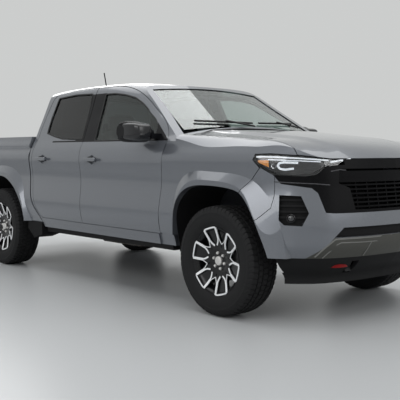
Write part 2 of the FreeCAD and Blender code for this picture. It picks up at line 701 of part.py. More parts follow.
front_solid = nose_solid.common(top_solid).fuse(front_flare)
front_inner = noseHalf(size.fender_wall).common(topHalf(size.fender_wall))
fender = front_solid.common(fender_region)
fender = fender.cut(front_inner)
pillar_room = block(0, size.firewall_place + size.panel_gap, -reach, 0, 0.6944 * size.body_height, roof_top)
for shape in (pillar_room, arch_cut, cornerPrism(lamp_line, size.panel_gap / 2)):
    fender = fender.cut(shape)
keepPair("fender", fender)

# The hood: the top's wall between the fenders, down to its lip
hood_box = block(size.hood_back, reach, -size.hood_side, 0, size.hood_lip, roof_top)
hood_inner = noseHalf(size.hood_wall).common(topHalf(size.hood_wall))
hood = front_solid.common(hood_box).cut(hood_inner).cut(cornerPrism(lamp_line, size.panel_gap))
keep("hood", hood.fuse(mirrored(hood)))
cowl_front = size.hood_back - size.panel_gap
cowl_box = block(size.firewall_place + size.seat_gap, cowl_front, -size.hood_side, 0, size.belt, roof_top)
cowl = topSlab(size.cowl_drop, size.cowl_drop + size.cowl_wall).common(cowl_box)
keep("cowl", cowl.fuse(mirrored(cowl)))

# The fascia's zones on the right: black upper zone, fog pocket, lower slot and skid plate
face_inner = noseHalf(size.fascia_wall).common(topHalf(size.fascia_wall))
face_box = block(0.3749 * size.body_length, reach, -reach, 0, 0.2607 * size.body_height,
    size.hood_lip - size.panel_gap)
face_back = sidePrism(straight(atSide([(0.3784, 0.4947),(0.4092, 0.594),(0.4255, 0.6029),(0.5355, 0.6029),(0.5355, 0.1109),
    (0.3693, 0.1109)])))
lip_zone = frontPrism(straight(atFront([(-0.2618, 0.5546),(0.0524, 0.5546),(0.0524, 0.6656),(-0.2618, 0.6656)])))
face = front_solid.common(face_box).common(face_back.fuse(lip_zone)).cut(face_inner)
face = face.cut([arch_cut, cornerPrism(lamp_line, size.seat_gap - size.panel_gap / 4)])
black_shares = [(0.4251, -0.4628, 0.5679),(0.4578, -0.3932, 0.5713),(0.468, -0.3618, 0.5768),
    (0.4728, -0.3298, 0.6101),(0.4801, -0.2665, 0.6295),(0.4986, 0.2094, 0.6656),(0.5171, 0.2094, 0.4271),(0.4816, -0.3147, 0.4271),(0.4761, -0.3497, 0.4298),
    (0.4683, -0.3665, 0.5014),(0.4633, -0.3827, 0.5191),(0.4358, -0.4529, 0.5336)]
black_zone = cornerPrism(atCorner(black_shares))
opening_shares = [(-0.2869, 0.589),(-0.2932, 0.5352),(-0.2503, 0.5186),(-0.2366, 0.4382),(0.2366, 0.4382),(0.2503, 0.5186),(0.2932, 0.5352),
    (0.2869, 0.589)]
grille_opening = frontPrism(straight(atFront(opening_shares)))
fog_shares = [(0.434, -0.4555, 0.4931),(0.455, -0.4099, 0.4903),(0.4628, -0.3937, 0.4282),(0.458, -0.4136, 0.381),(0.4406, -0.4513, 0.3838),
    (0.434, -0.4586, 0.4016)]
fog_zone = cornerPrism(atCorner(fog_shares))
slot_line = straight(atFront([(-0.2895, 0.3749),(0.2895, 0.3749),(0.3257, 0.3389),(-0.3257, 0.3389)]))
skid_line = straight(atFront([(-0.3257, 0.3378),(0.3257, 0.3378),(0.3901, 0.2579),(-0.3901, 0.2579)]))
slot_zone = frontPrism(slot_line)
skid_zone = frontPrism(skid_line)
grille_frame = face.common(black_zone).cut(grille_opening)
seam_line = atSide([(0.4259, 0.5768),(0.4268, 0.4908),(0.4244, 0.4437),(0.409, 0.4004),(0.3878, 0.3771)])
seam_step = vec(0.0006 * size.body_length, 0, -0.0017 * size.body_height)
seam = sidePrism(straight(seam_line + [point - seam_step for point in reversed(seam_line)]))
bumper = face.cut([black_zone, fog_zone, slot_zone, skid_zone, seam])
skid = face.common(skid_zone)
slot_room = frontPrism(slot_line, -size.seat_gap).common(block(0.4063 * size.body_length, reach, -reach, 0, 0, roof_top))
slot_back = noseHalf(size.fascia_wall).common(slot_room).cut(noseHalf(size.fascia_wall * 2))
chin_box = block(0.4063 * size.body_length, reach, -reach, 0, 0.1581 * size.body_height,
    0.2605 * size.body_height)
chin = nose_solid.common(chin_box).cut(noseHalf(size.fascia_wall)).cut(arch_cut)
hook_side = 0.2094 * size.body_width
hook_room = 0.0157 * size.body_width
chin = chin.cut(block(0.4063 * size.body_length, reach, -hook_side - hook_room, -hook_side + hook_room,
    0.1941 * size.body_height, 0.244 * size.body_height))


# Both halves of a piece that meets itself in the middle
def whole(shape):
    return shape.fuse(mirrored(shape))


bumper_pieces = [piece for piece in whole(bumper).Solids if piece.Volume > size.fascia_wall ** 3]
keep("front_bumper", Part.makeCompound(bumper_pieces))
keep("skid_plate", whole(skid))
keep("lower_bumper", Part.makeCompound(whole(chin).Solids + whole(slot_back).Solids))

slat_wall = 0.0067 * size.body_height


# The nose's plan at a height, across the middle from one side to the other
def planAcross(level, inset, side):
    line = nosePlan(level, inset)
    first = max(index for index, point in enumerate(line) if -point.y >= side)
    share = (-line[first].y - side) / (line[first + 1].y - line[first].y)
    right = [line[first] + (line[first + 1] - line[first]) * share] + line[first + 1:]
    return right + [vec(point.x, -point.y, point.z) for point in reversed(right[:-1])]


# A level bar that follows the nose's plan
def slat(low_share, high_share, near, deep, side):
    level = (low_share + high_share) / 2
    face = Part.Face(outline([planAcross(level, near, side), planAcross(level, deep, side)[::-1]]))
    face.translate(along_z * ((low_share - level) * size.body_height))
    return face.extrude(along_z * ((high_share - low_share) * size.body_height))


# The grille: a frame round the opening, level slats and uprights behind them
slat_near = size.fascia_wall / 2
slat_deep = size.fascia_wall * 1.4
slat_shares = ((0.4454, 0.2419), (0.4615, 0.245), (0.4775, 0.2476), (0.4936, 0.2513),
    (0.5097, 0.255), (0.5258, 0.2801))
slat_rise_share = 0.0061
bars = [slat(low_share, low_share + slat_rise_share, slat_near, slat_deep, side * size.body_width)
    for low_share, side in slat_shares]
bars.append(slat(0.5391, 0.5813, size.fascia_wall / 4, slat_deep, 0.2942 * size.body_width))
upright_half = 0.0026 * size.body_width
upright_low = 0.4409 * size.body_height
upright_high = 0.5463 * size.body_height
for index in range(-4, 5):
    side = index * 0.0513 * size.body_width
    ends = []
    for height in (upright_low, upright_high):
        tip = planAcross(height / size.body_height, slat_near, abs(side) + slat_wall)[0].x
        ends.append(vec(tip - slat_wall, side - upright_half, height))
    back = along_x * (size.fascia_wall * 0.7)
    flat = Part.Face(outline(straight([ends[0], ends[1], ends[1] - back, ends[0] - back])))
    bars.append(flat.extrude(along_y * (upright_half * 2)))
keep("grille", whole(grille_frame).fuse(bars))

# Headlamps: a clear lens over a dark housing with a round projector
lens_in = 0.0007 * size.body_length
lens_wall = 0.0009 * size.body_length
housing_deep = 0.0157 * size.body_length
housing_wall = 0.0007 * size.body_length
lamp_room = cornerPrism(lamp_line, -size.panel_gap / 4)
lens_outer = noseHalf(lens_in).common(topHalf(lens_in)).common(lamp_room)
lens_inner = noseHalf(lens_in + lens_wall).common(topHalf(lens_in + lens_wall))
keepPair("headlamp_lens", lens_outer.cut(lens_inner))
housing_near = lens_in + lens_wall + size.seat_gap
housing = noseHalf(housing_near).common(topHalf(housing_near)).common(lamp_room).cut(noseHalf(housing_deep))
lamp_cavity = cornerPrism(lamp_line, -size.panel_gap / 4 - housing_wall).cut(noseHalf(housing_deep - housing_wall))
housing = housing.common(noseHalf(0)).cut(noseHalf(0).common(lamp_cavity))
keepPair("headlamp", housing)
fog_back = noseHalf(size.fascia_wall).common(fog_zone).cut(noseHalf(size.fascia_wall * 2))
fog_bars = []
for index in range(4):
    height = (0.4077 + 0.0211 * index) * size.body_height
    fog_bars.append(block(0, reach, -reach, 0, height, height + slat_wall))
fog_grille = noseHalf(size.fascia_wall / 2).common(fog_zone).cut(noseHalf(size.fascia_wall + 0))
fog_grille = fog_grille.common(joined(fog_bars)).fuse(fog_back)
keep("fog_lamps", Part.makeCompound(fog_grille.Solids + mirrored(fog_grille).Solids))

# The bed's sides: outer skin, rail and ends, open towards the bed
bed_all = bedVolume().common(right_side).fuse(rear_flare)
side_shares_low = [(-0.1911, 0.2729),(-0.1348, 0.2729),(-0.1348, 0.2385)]
bed_side_line = [atSide([(-0.1381, 0.2729),(-0.1463, 0.3062),(-0.1703, 0.3938),(-0.1784, 0.5103),(-0.1802, 0.6101),(-0.1813, 0.6933),
    (-0.1813, 0.7765)]), atSide([(-0.1813, 0.7765),(-0.5355, 0.7765)]), atSide([(-0.5355, 0.7765),(-0.5355, 0.4077)]),
    atSide([(-0.5355, 0.4077),(-0.4506, 0.4077)]), atSide([(-0.4506, 0.4077),(-0.4137, 0.3328)]),
    atSide([(-0.4137, 0.3328),(-0.3509, 0.3328)]), atSide([(-0.3509, 0.3328),(-0.1921, 0.2729)]),
    atSide([(-0.1921, 0.2729),(-0.1381, 0.2729)])]
bed_box = block(size.bed_back, reach, -reach, -size.hood_side, -low, size.rail_top)
bed_side = bed_all.common(bed_box).common(sidePrism(bed_side_line))
rear_arch_cut = sidePrism(rear_arch_line).fuse(sidePrism(straight(atSide([(-0.193, 0.1109),(-0.3786, 0.1109),(-0.3786, 0.2329),
    (-0.193, 0.2329)]))))
bed_side = bed_side.cut(rear_arch_cut)
rail_wall = 0.025 * size.body_height
hollow_box = block(size.bed_back + rail_wall, size.bed_front - rail_wall / 2, -reach, 0, -low, size.rail_top - rail_wall)
hollow = bedVolume(size.fender_wall + size.seat_gap * 10).common(hollow_box)
bed_side = bed_side.cut(hollow)
tail_box_back = size.bed_back
tail_deep = 0.0139 * size.body_length
tail_low = 0.513 * size.body_height
tail_high = 0.685 * size.body_height
tail_in = 0.4188 * size.body_width
tail_box = block(tail_box_back - tail_deep, tail_box_back + tail_deep, -reach, -tail_in, tail_low, tail_high)
tail_back = -0.4946 * size.body_length
tail_room = block(tail_back, tail_box_back + tail_deep - size.seat_gap, -reach, -tail_in - size.seat_gap,
    tail_low + size.seat_gap, tail_high - size.seat_gap)
tail_lamp = bed_all.common(tail_room)
bed_side = bed_side.cut(tail_box)
keep("tail_lamps", Part.makeCompound(tail_lamp.Solids + mirrored(tail_lamp).Solids))

# The bed's box: floor, front wall, side walls and wheel housings
wall_out = size.hood_side - size.seat_gap
wall_thin = 0.0094 * size.body_width
floor_low = size.bed_floor - size.bed_floor_wall
bed_end = size.bed_back + size.gate_wall + size.panel_gap
bed_floor = block(bed_end, size.bed_front, -wall_out, 0, floor_low, size.bed_floor)
bed_head = block(size.bed_front - wall_thin, size.bed_front, -wall_out, 0, floor_low, size.rail_top)
bed_wall = block(bed_end, size.bed_front, -wall_out, -wall_out + wall_thin, floor_low, size.rail_top - rail_wall)
house_in = 0.3063 * size.body_width
house_wall = size.liner_wall * 2
house_back = size.arch_tuck + size.liner_wall + size.seat_gap
house_box = block(-reach, reach, -wall_out, -house_in, 0, size.body_height)
house = sidePrism(rear_arch_line, house_back + house_wall).common(house_box)
room_box = block(-reach, reach, -reach, -house_in - house_wall, 0, size.body_height)
house_room = sidePrism(rear_arch_line, house_back).common(room_box)
above_floor = block(-reach, 0, -reach, 0, floor_low, roof_top)
bed_tail = block(size.bed_back + size.panel_gap, bed_end, -wall_out + size.panel_gap, 0, 0.4004 * size.body_height,
    size.bed_floor - size.panel_gap * 2)
bed_half = bed_floor.fuse([bed_head, bed_wall, house.common(above_floor), bed_tail]).cut(house_room)
keep("bed", whole(bed_half))
gate_half = block(size.bed_back, size.bed_back + size.gate_wall, -wall_out + size.panel_gap, 0,
    size.bed_floor + size.gate_wall / 2, size.gate_top)
gate_axis_x = size.bed_back + size.gate_wall / 2
gate_axis_z = size.bed_floor + size.gate_wall / 2
gate_roll = rod(vec(gate_axis_x, -wall_out + size.panel_gap, gate_axis_z), vec(gate_axis_x, 0, gate_axis_z),
    size.gate_wall / 2)
pin_foot = vec(gate_axis_x, -size.hood_side - size.bed_wall / 4, gate_axis_z)
pin_tip = vec(gate_axis_x, -size.hood_side + size.bed_wall / 3, gate_axis_z)
pin_radius = size.gate_wall / 5
gate_half = gate_half.fuse(gate_roll)
gate_half = gate_half.cut(rod(pin_foot, pin_tip + along_y * size.seat_gap, pin_radius + size.seat_gap))
keep("tailgate", whole(gate_half))
keepPair("bedside", bed_side.fuse(rod(pin_foot, pin_tip, pin_radius)))

# The rear bumper: a wrapped bar with a step
bumper_plan_shares = [(-0.4543, -0.4843),(-0.4801, -0.4775),(-0.494, -0.4398),(-0.5, -0.3246),(-0.5, 0),(-0.4801, 0),
    (-0.4801, -0.4188),(-0.4543, -0.4503)]
bumper_low = 0.2524 * size.body_height
bumper_high = 0.391 * size.body_height
bumper_plan = [vec(x * size.body_length, y * size.body_width, bumper_low) for x, y in bumper_plan_shares]
rear_bar = Part.Face(outline(straight(bumper_plan))).extrude(along_z * (bumper_high - bumper_low))
keep("rear_bumper", whole(rear_bar))

# Tyres and rims, turned about the wheel's axis with the outer side to the right
wheel_places = {"front": front_axle, "rear": rear_axle}
tread_half = size.tyre_width / 2 - size.tyre_width / 10
wall_half = size.tyre_width / 2
bead_half = size.tyre_width * 0.40
bead_radius = size.rim_radius + size.seat_gap
tyre_wall = size.tyre_width / 18
shoulder = size.tyre_radius - size.tyre_width / 16
belly = (size.tyre_radius + size.rim_radius) / 2


def ringSolid(profile):
    points = [vec(0, y, radius) for y, radius in profile]
    face = Part.Face(outline(straight(points)))
    return face.revolve(vec(0, 0, 0), along_y, 360)


lip_radius = size.rim_radius * 1.048
seat_radius = lip_radius + size.seat_gap
tyre_profile = [(-bead_half, bead_radius), (-bead_half, seat_radius), (-wall_half + tyre_wall / 2, belly - tyre_wall * 2), (-wall_half, belly),
    (-wall_half + tyre_wall / 3, shoulder - tyre_wall), (-tread_half, size.tyre_radius), (tread_half, size.tyre_radius),
    (wall_half - tyre_wall / 3, shoulder - tyre_wall), (wall_half, belly), (wall_half - tyre_wall / 2, belly - tyre_wall * 2),
    (bead_half, seat_radius), (bead_half, bead_radius), (bead_half - tyre_wall, bead_radius), (wall_half - tyre_wall, belly),
    (tread_half - tyre_wall, size.tyre_radius - tyre_wall), (-tread_half + tyre_wall, size.tyre_radius - tyre_wall),
    (-wall_half + tyre_wall, belly), (-bead_half + tyre_wall, bead_radius)]
tyre = ringSolid(tyre_profile)
rim_wall = size.rim_radius / 30
lip_half = bead_half + rim_wall * 1.2
drop_radius = size.rim_radius * 0.90
rim_profile = [(-lip_half, size.rim_radius - rim_wall), (-lip_half, lip_radius), (-bead_half - size.seat_gap, lip_radius),
    (-bead_half - size.seat_gap, size.rim_radius), (-bead_half / 2, size.rim_radius), (-bead_half / 3, drop_radius + rim_wall),
    (bead_half / 2, drop_radius + rim_wall), (bead_half / 1.5, size.rim_radius), (bead_half + size.seat_gap, size.rim_radius),
    (bead_half + size.seat_gap, lip_radius), (lip_half, lip_radius), (lip_half, size.rim_radius - rim_wall),
    (bead_half / 1.4, size.rim_radius - rim_wall), (bead_half / 2, drop_radius), (-bead_half / 3, drop_radius),
    (-bead_half / 2, size.rim_radius - rim_wall)]
rim_barrel = ringSolid(rim_profile)
hub_face = size.tyre_width * 0.19
spoke_out = size.tyre_width * 0.37
spoke_deep = size.tyre_width * 0.10
spoke_wide = size.rim_radius * 0.105
pair_gap = size.rim_radius * 0.20
cap_radius = size.rim_radius * 0.33
disc = Part.makeCylinder(cap_radius, spoke_out - hub_face, vec(0, -hub_face, 0), along_y * -1)
spoke_room = Part.makeCylinder(size.rim_radius - rim_wall / 2, spoke_out, vec(0, 0, 0), along_y * -1)
spokes = [disc]
spoke_count = 6
for index in range(spoke_count):
    for side in (-1, 1):
        spoke = block(side * pair_gap - spoke_wide / 2, side * pair_gap + spoke_wide / 2, -spoke_out,
            -spoke_out + spoke_deep, cap_radius * 0.7, size.rim_radius - rim_wall / 2)
        spoke.rotate(vec(0, 0, 0), along_y, (index + 0.5) * 360 / spoke_count)
        spokes.append(spoke.common(spoke_room))
rim = rim_barrel.fuse(spokes)
for axle_name, axle_x in wheel_places.items():
    centre = vec(axle_x, -wheel_side, hub_height)
    for kind, shape in (("tyre", tyre), ("rim", rim)):
        placed = shape.copy()
        placed.translate(centre)
        keepPair(f"{kind}_{axle_name}", placed)

# Ladder frame: two kicked rails, cross members and the front beam
rail_in = 0.1911 * size.body_width
rail_out = 0.2277 * size.body_width
rail_height = 0.0654 * size.body_height
rail_low_shares = [(0.4506, 0.2524),(0.4063, 0.2651),(0.2807, 0.2651),(0.2401, 0.2191),(-0.181, 0.2191),(-0.2253, 0.3361),(-0.3693, 0.345),
    (-0.4801, 0.3328)]
rail_low = atSide(rail_low_shares)
rail_high = [point + along_z * rail_height for point in reversed(rail_low)]
rail = Part.Face(outline(straight(rail_low + rail_high))).extrude(along_y * (rail_out - rail_in))
rail.translate(along_y * -rail_out)
cross_radius = 0.0177 * size.body_height
thin_radius = 0.0105 * size.body_height
cross_shares = [(0.4247, 0.2967),(-0.3416, 0.3771),(-0.4524, 0.3688)]
thin_shares = [(0.0776, 0.2712),(-0.0554, 0.2712),(-0.1588, 0.2712)]
crosses = []
for x_share, z_share in cross_shares:
    place = vec(x_share * size.body_length, 0, z_share * size.body_height)
    crosses.append(rod(place - along_y * rail_in, place + along_y * rail_in, cross_radius))
for x_share, z_share in thin_shares:
    place = vec(x_share * size.body_length, 0, z_share * size.body_height)
    crosses.append(rod(place - along_y * rail_in, place + along_y * rail_in, thin_radius))
beam = block(0.4469 * size.body_length, 0.4617 * size.body_length, -0.3141 * size.body_width,
    0.3141 * size.body_width, 0.2773 * size.body_height, 0.3217 * size.body_height)
sills = []
for x_share in (-0.229, -0.2678, -0.3693, -0.4432):
    place = x_share * size.body_length
    sills.append(block(place, place + rail_out - rail_in, -0.2984 * size.body_width, 0.2984 * size.body_width,
        0.4115 * size.body_height, floor_low - size.seat_gap))
sill_posts = []
for x_share in (-0.229, -0.2678, -0.3693, -0.4432):
    place = x_share * size.body_length
    sill_posts.append(block(place, place + rail_out - rail_in, -rail_out, -rail_in, 0.3716 * size.body_height,
        0.4115 * size.body_height))
mounts = []
for x_share in (0.2031, 0.0554, -0.1293):
    place = x_share * size.body_length
    mounts.append(block(place, place + rail_out - rail_in, -rail_out, -rail_in, 0.2773 * size.body_height,
        size.cab_floor - size.seat_gap))
engine_side = 0.1257 * size.body_width
engine_mount = block(0.3324 * size.body_length, 0.3509 * size.body_length, -rail_in, -engine_side - size.seat_gap,
    0.2773 * size.body_height, 0.3217 * size.body_height)
horn = block(0.4598 * size.body_length, reach, -0.2618 * size.body_width, -0.2094 * size.body_width,
    0.2773 * size.body_height, 0.3217 * size.body_height)
horn = horn.common(noseHalf(size.fascia_wall + size.seat_gap))
mounts += [engine_mount, horn]
ladder = rail.fuse([mirrored(rail)] + crosses + [beam] + sills + sill_posts + [mirrored(post) for post in sill_posts]
    + mounts + [mirrored(mount) for mount in mounts])
hitch_x0 = -0.4903 * size.body_length
hitch_x1 = -0.4432 * size.body_length
hitch_half = size.hitch_bore / 2 + size.hitch_wall
hitch_z = 0.2318 * size.body_height
hitch_tube = block(hitch_x0, hitch_x1, -hitch_half, hitch_half, hitch_z - hitch_half, hitch_z + hitch_half)
hitch_side = size.hitch_bore / 2
hitch_bore = block(hitch_x0, hitch_x1, -hitch_side, hitch_side, hitch_z - hitch_side, hitch_z + hitch_side)
pin_x = hitch_x0 + 0.0129 * size.body_length
pin_hole = rod(vec(pin_x, -hitch_half, hitch_z), vec(pin_x, hitch_half, hitch_z), size.hitch_pin / 2)
hitch_bar = rod(vec(hitch_x1 - hitch_half, -rail_out, hitch_z), vec(hitch_x1 - hitch_half, rail_out, hitch_z), cross_radius)
hitch_arm = block(hitch_x1 - hitch_half * 2, hitch_x1, -rail_out, -rail_in, hitch_z, 0.3439 * size.body_height)
hitch = hitch_tube.fuse([hitch_bar, hitch_arm, mirrored(hitch_arm)]).cut([hitch_bore, pin_hole])
ladder = ladder.fuse(hitch)
keep("frame", ladder)


def placeAt(x, y, z):
    return vec(x * size.body_length, y * size.body_width, z * size.body_height)


def boxAt(low_corner, high_corner):
    start = placeAt(*low_corner)
    end = placeAt(*high_corner)
    return block(start.x, end.x, start.y, end.y, start.z, end.z)


# Engine as one block, the gearbox and the shaft to the rear axle
engine_box = [(0.2881, -0.1257, 0.244),(0.3952, 0.1257, 0.5713)]
engine = boxAt(engine_box[0], engine_box[1])
engine_round = 0.0166 * size.body_height
keep("engine", engine.makeFillet(engine_round, engine.Edges))
gear_shares = [(0.288, 0, 0.2429),(0.1108, 0, 0.2374)]
gear_start = placeAt(*gear_shares[0])
gear_end = placeAt(*gear_shares[1])
gear_radius = 0.0433 * size.body_height
gear_case = Part.makeCone(gear_radius, gear_radius * 0.72, gear_start.distanceToPoint(gear_end), gear_start,
    gear_end - gear_start)
shaft_end = placeAt(*[(-0.2585, 0, 0.2219)][0])
shaft_radius = 0.02 * size.body_height
keep("driveline", gear_case.fuse(rod(gear_end, shaft_end, shaft_radius)))

# Rear axle: tube, differential, hubs and brake discs
tube_radius = 0.0233 * size.body_height
hub_out = wheel_side + hub_face - size.seat_gap
hub_radius = 0.0366 * size.body_height
disc_radius = 0.0832 * size.body_height
disc_wall = 0.0136 * size.body_width
axle_centre = vec(rear_axle, 0, hub_height)
axle_tube = rod(axle_centre - along_y * (hub_out - disc_wall), axle_centre + along_y * (hub_out - disc_wall), tube_radius)
bowl_half = 0.0445 * size.body_width
bowl = rod(axle_centre - along_y * bowl_half, axle_centre + along_y * bowl_half, disc_radius * 0.85)
hubs = []
for side in (-1, 1):
    out_end = axle_centre + along_y * (side * hub_out)
    in_end = axle_centre + along_y * (side * (hub_out - disc_wall * 2))
    mid_end = axle_centre + along_y * (side * (hub_out - disc_wall * 1.3))
    hubs.append(rod(in_end, out_end, hub_radius))
    hubs.append(rod(in_end, mid_end, disc_radius))
nose_cone = rod(axle_centre, shaft_end + (axle_centre - shaft_end).normalize() * size.seat_gap, shaft_radius * 1.3)
shock_seat = boxAt(*[(-0.3158, -0.2539, 0.1952),(-0.2862, -0.2225, 0.2106)])
keep("rear_axle", axle_tube.fuse([bowl, nose_cone, shock_seat, mirrored(shock_seat)] + hubs))

# Leaf springs under the rails, their hangers and the rear shocks
leaf_shares = [(-0.1819, 0.2607),(-0.2216, 0.2507),(-0.2838, 0.2524),(-0.3509, 0.2607),(-0.3989, 0.2829)]
leaf_wall = 0.0166 * size.body_height
leaf_in = 0.2513 * size.body_width
leaf_out = 0.2853 * size.body_width
leaf_low = atSide(leaf_shares)
leaf_high = [point + along_z * leaf_wall for point in reversed(leaf_low)]
leaf = Part.Face(outline([leaf_low, leaf_high])).extrude(along_y * (leaf_out - leaf_in))
leaf.translate(along_y * -leaf_out)
pad_half = 0.0102 * size.body_length
pad = block(rear_axle - pad_half, rear_axle + pad_half, -leaf_out, -leaf_in, hub_height + tube_radius + size.seat_gap,
    0.2607 * size.body_height)
hanger_front = boxAt(*[(-0.1865, -0.2853, 0.2468),(-0.1754, -0.2279, 0.2856)])
hanger_rear = boxAt(*[(-0.3998, -0.2853, 0.2745),(-0.3906, -0.2279, 0.3827)])
shock_low = placeAt(*[(-0.3139, -0.2382, 0.1913)][0])
shock_high = placeAt(*[(-0.2696, -0.2419, 0.3882)][0])
shock = rod(shock_low, shock_high, 0.0122 * size.body_height)
shock = shock.common(block(-reach, 0, -reach, 0, 0.2108 * size.body_height, size.body_height))
shock_eye = rod(placeAt(*[(-0.2724, -0.2435, 0.3744)][0]), placeAt(*[(-0.2724, -0.2279, 0.3744)][0]),
    0.0067 * size.body_height)
shock = shock.fuse(shock_eye)
spring_set = leaf.fuse([pad, hanger_front, hanger_rear])
keep("rear_suspension", Part.makeCompound(spring_set.Solids + mirrored(spring_set).Solids + [shock, mirrored(shock)]))

# Front suspension arms, struts and the steering rack
king_side = 0.3665 * size.body_width
low_ball = vec(front_axle, -king_side, 0.1359 * size.body_height)
high_ball = vec(front_axle, -king_side, 0.3039 * size.body_height)
arm_radius = 0.0116 * size.body_height
arms = []
for ball, pivots in ((low_ball, [(0.2992, -0.1885, 0.2607),(0.3657, -0.1885, 0.2607)]), (high_ball, [(0.3139, -0.2094, 0.3328),
    (0.3509, -0.2094, 0.3328)])):
    for pivot in pivots:
        arms.append(rod(placeAt(*pivot), ball, arm_radius))
eye_reach = arm_radius * 2.4
eye_high = along_z * (eye_reach - size.seat_gap)
arms.append(rod(low_ball - along_z * arm_radius, low_ball + eye_high, arm_radius * 1.2))
arms.append(rod(high_ball - eye_high, high_ball + along_z * arm_radius, arm_radius * 1.2))
strut = rod(placeAt(*[(0.3324, -0.2932, 0.183)][0]), placeAt(*[(0.3324, -0.2408, 0.477)][0]), 0.025 * size.body_height)
tower = boxAt(*[(0.3176, -0.2618, 0.4548),(0.3472, -0.199, 0.4992)])
tower_post = boxAt(*[(0.3213, -0.2199, 0.3217),(0.3435, -0.1937, 0.4603)])
arm_set = arms[0].fuse(arms[1:] + [strut, tower, tower_post])
arm_set = arm_set.cut([rail, engine])
keep("front_suspension", Part.makeCompound(arm_set.Solids + mirrored(arm_set).Solids))

# Steered knuckles with their discs and hubs
knuckle_post = rod(low_ball + along_z * eye_reach, high_ball - along_z * eye_reach, arm_radius * 1.2)
front_centre = vec(front_axle, -hub_out, hub_height)
front_hub = rod(front_centre, front_centre + along_y * (hub_out - king_side + arm_radius), hub_radius)
front_disc = rod(front_centre + along_y * disc_wall * 0.7, front_centre + along_y * disc_wall * 1.7, disc_radius)
keepPair("knuckle", knuckle_post.fuse([front_hub, front_disc]))

# Wheel liners over all four wheels
def archLiner(line, start_side):
    ring = sidePrism(line, size.arch_tuck + size.liner_wall).cut(sidePrism(line, size.arch_tuck))
    return ring.common(block(-reach, reach, -reach, -start_side, 0.2285 * size.body_height, size.body_height))


front_ring = archLiner(front_arch_line, size.liner_inner)
fender_part = block(0, 0.3675 * size.body_length, -reach, 0, 0, size.body_height)
front_liner = front_ring.common(noseHalf(size.fender_wall + size.seat_gap)).common(fender_part)
front_liner = front_liner.fuse(front_ring.common(noseHalf(size.fascia_wall + size.seat_gap)).cut(fender_part))
rear_ring = archLiner(rear_arch_line, house_in + house_wall + size.seat_gap)
liners = [front_liner, rear_ring.common(bedVolume(size.fender_wall + size.seat_gap * 16))]
liner_solids = []
for liner in liners:
    liner_solids += liner.Solids + mirrored(liner).Solids
keep("wheel_liners", Part.makeCompound(liner_solids))

# Black trim under the sills with the flap ahead of the rear wheel, and the two tow hooks
trim_line = straight(atSide([(0.2262, 0.2505),(0.2299, 0.2291),(-0.1293, 0.2246),(-0.132, 0.2505)]))
trim = sidePrism(trim_line).common(block(-reach, reach, -0.4545 * size.body_width, -0.411 * size.body_width, 0, roof_top))
flap_line = straight(atSide([(-0.1389, 0.2727),(-0.1389, 0.208),(-0.1671, 0.1836),(-0.1902, 0.2329),(-0.1902, 0.2727)]))
flap = sidePrism(flap_line).common(block(-reach, reach, -0.4738 * size.body_width, -0.3691 * size.body_width, 0, roof_top))
flap = flap.cut(sidePrism(rear_arch_line, size.arch_tuck + size.liner_wall + size.seat_gap))
keep("side_trim", Part.makeCompound(trim.Solids + flap.Solids + mirrored(trim).Solids + mirrored(flap).Solids))
hook_radius = 0.005 * size.body_height
hook_places = atSide([(0.4507, 0.2634),(0.4547, 0.2634),(0.4654, 0.2357),(0.475, 0.223),(0.4761, 0.2052),(0.4654, 0.203)])
hook_parts = [rod(start, end, hook_radius) for start, end in zip(hook_places, hook_places[1:])]
hook_parts += [Part.makeSphere(hook_radius, place) for place in hook_places[1:]]
hook = joined(hook_parts)
hook.translate(along_y * -hook_side)
keep("tow_hooks", Part.makeCompound(hook.Solids + mirrored(hook).Solids))

# Exhaust, fuel tank and spare wheel
pipe_radius = 0.0166 * size.body_height
pipe_places = [placeAt(*share) for share in [(0.2401, -0.1571, 0.1941),(-0.1699, -0.1571, 0.1858),(-0.2216, -0.1571, 0.294),
    (-0.3435, -0.1571, 0.294),(-0.3989, -0.2618, 0.2385),(-0.4654, -0.3141, 0.2385)]]
pipes = [rod(start, end, pipe_radius) for start, end in zip(pipe_places, pipe_places[1:])]
pipes += [Part.makeSphere(pipe_radius, place) for place in pipe_places[1:-1]]
muffler = boxAt(*[(-0.1016, -0.1859, 0.1581),(0.0185, -0.0995, 0.2135)])
muffler = muffler.makeFillet(pipe_radius, muffler.Edges)
hanger_radius = pipe_radius / 3
pipes.append(rod(placeAt(*[(-0.0554, -0.1571, 0.1886)][0]), placeAt(*[(-0.0554, -0.1571, 0.2605)][0]), hanger_radius))
pipes.append(rod(placeAt(*[(-0.2548, -0.1571, 0.294)][0]), placeAt(*[(-0.2548, -0.1571, 0.4114)][0]), hanger_radius))
keep("exhaust", muffler.fuse(pipes))
tank = boxAt(*[(-0.1477, 0.2279, 0.1664),(0.0554, 0.3665, 0.2773)])
keep("fuel_tank", tank.makeFillet(pipe_radius, tank.Edges))

# The cabin: dashboard with the column, steering wheel and seats
dash_side = 0.3613 * size.body_width
dash_line = atSide([(0.2299, 0.4104),(0.2299, 0.685),(0.2031, 0.6877),(0.1699, 0.6517),(0.1616, 0.5879),(0.181, 0.4215)])
dash = Part.Face(outline(straight(dash_line))).extrude(along_y * (2 * dash_side))
dash.translate(along_y * -dash_side)
console = boxAt(*[(-0.0277, -0.0602, 0.303),(0.2031, 0.0602, 0.4603)])
column_start = placeAt(*[(0.181, 0.199, 0.5463)][0])
wheel_centre = placeAt(*[(0.1136, 0.199, 0.6295)][0])
column_way = (wheel_centre - column_start).normalize()
column_radius = 0.0177 * size.body_height
boss_deep = 0.0083 * size.body_length
column = rod(column_start, wheel_centre - column_way * (boss_deep + size.seat_gap), column_radius)
keep("dashboard", dash.fuse([console, column]))
wheel_radius = 0.1026 * size.body_height
grip_radius = 0.0083 * size.body_height
grip = Part.makeTorus(wheel_radius, grip_radius, wheel_centre, column_way)
boss = rod(wheel_centre - column_way * boss_deep, wheel_centre + column_way * grip_radius, column_radius * 1.6)
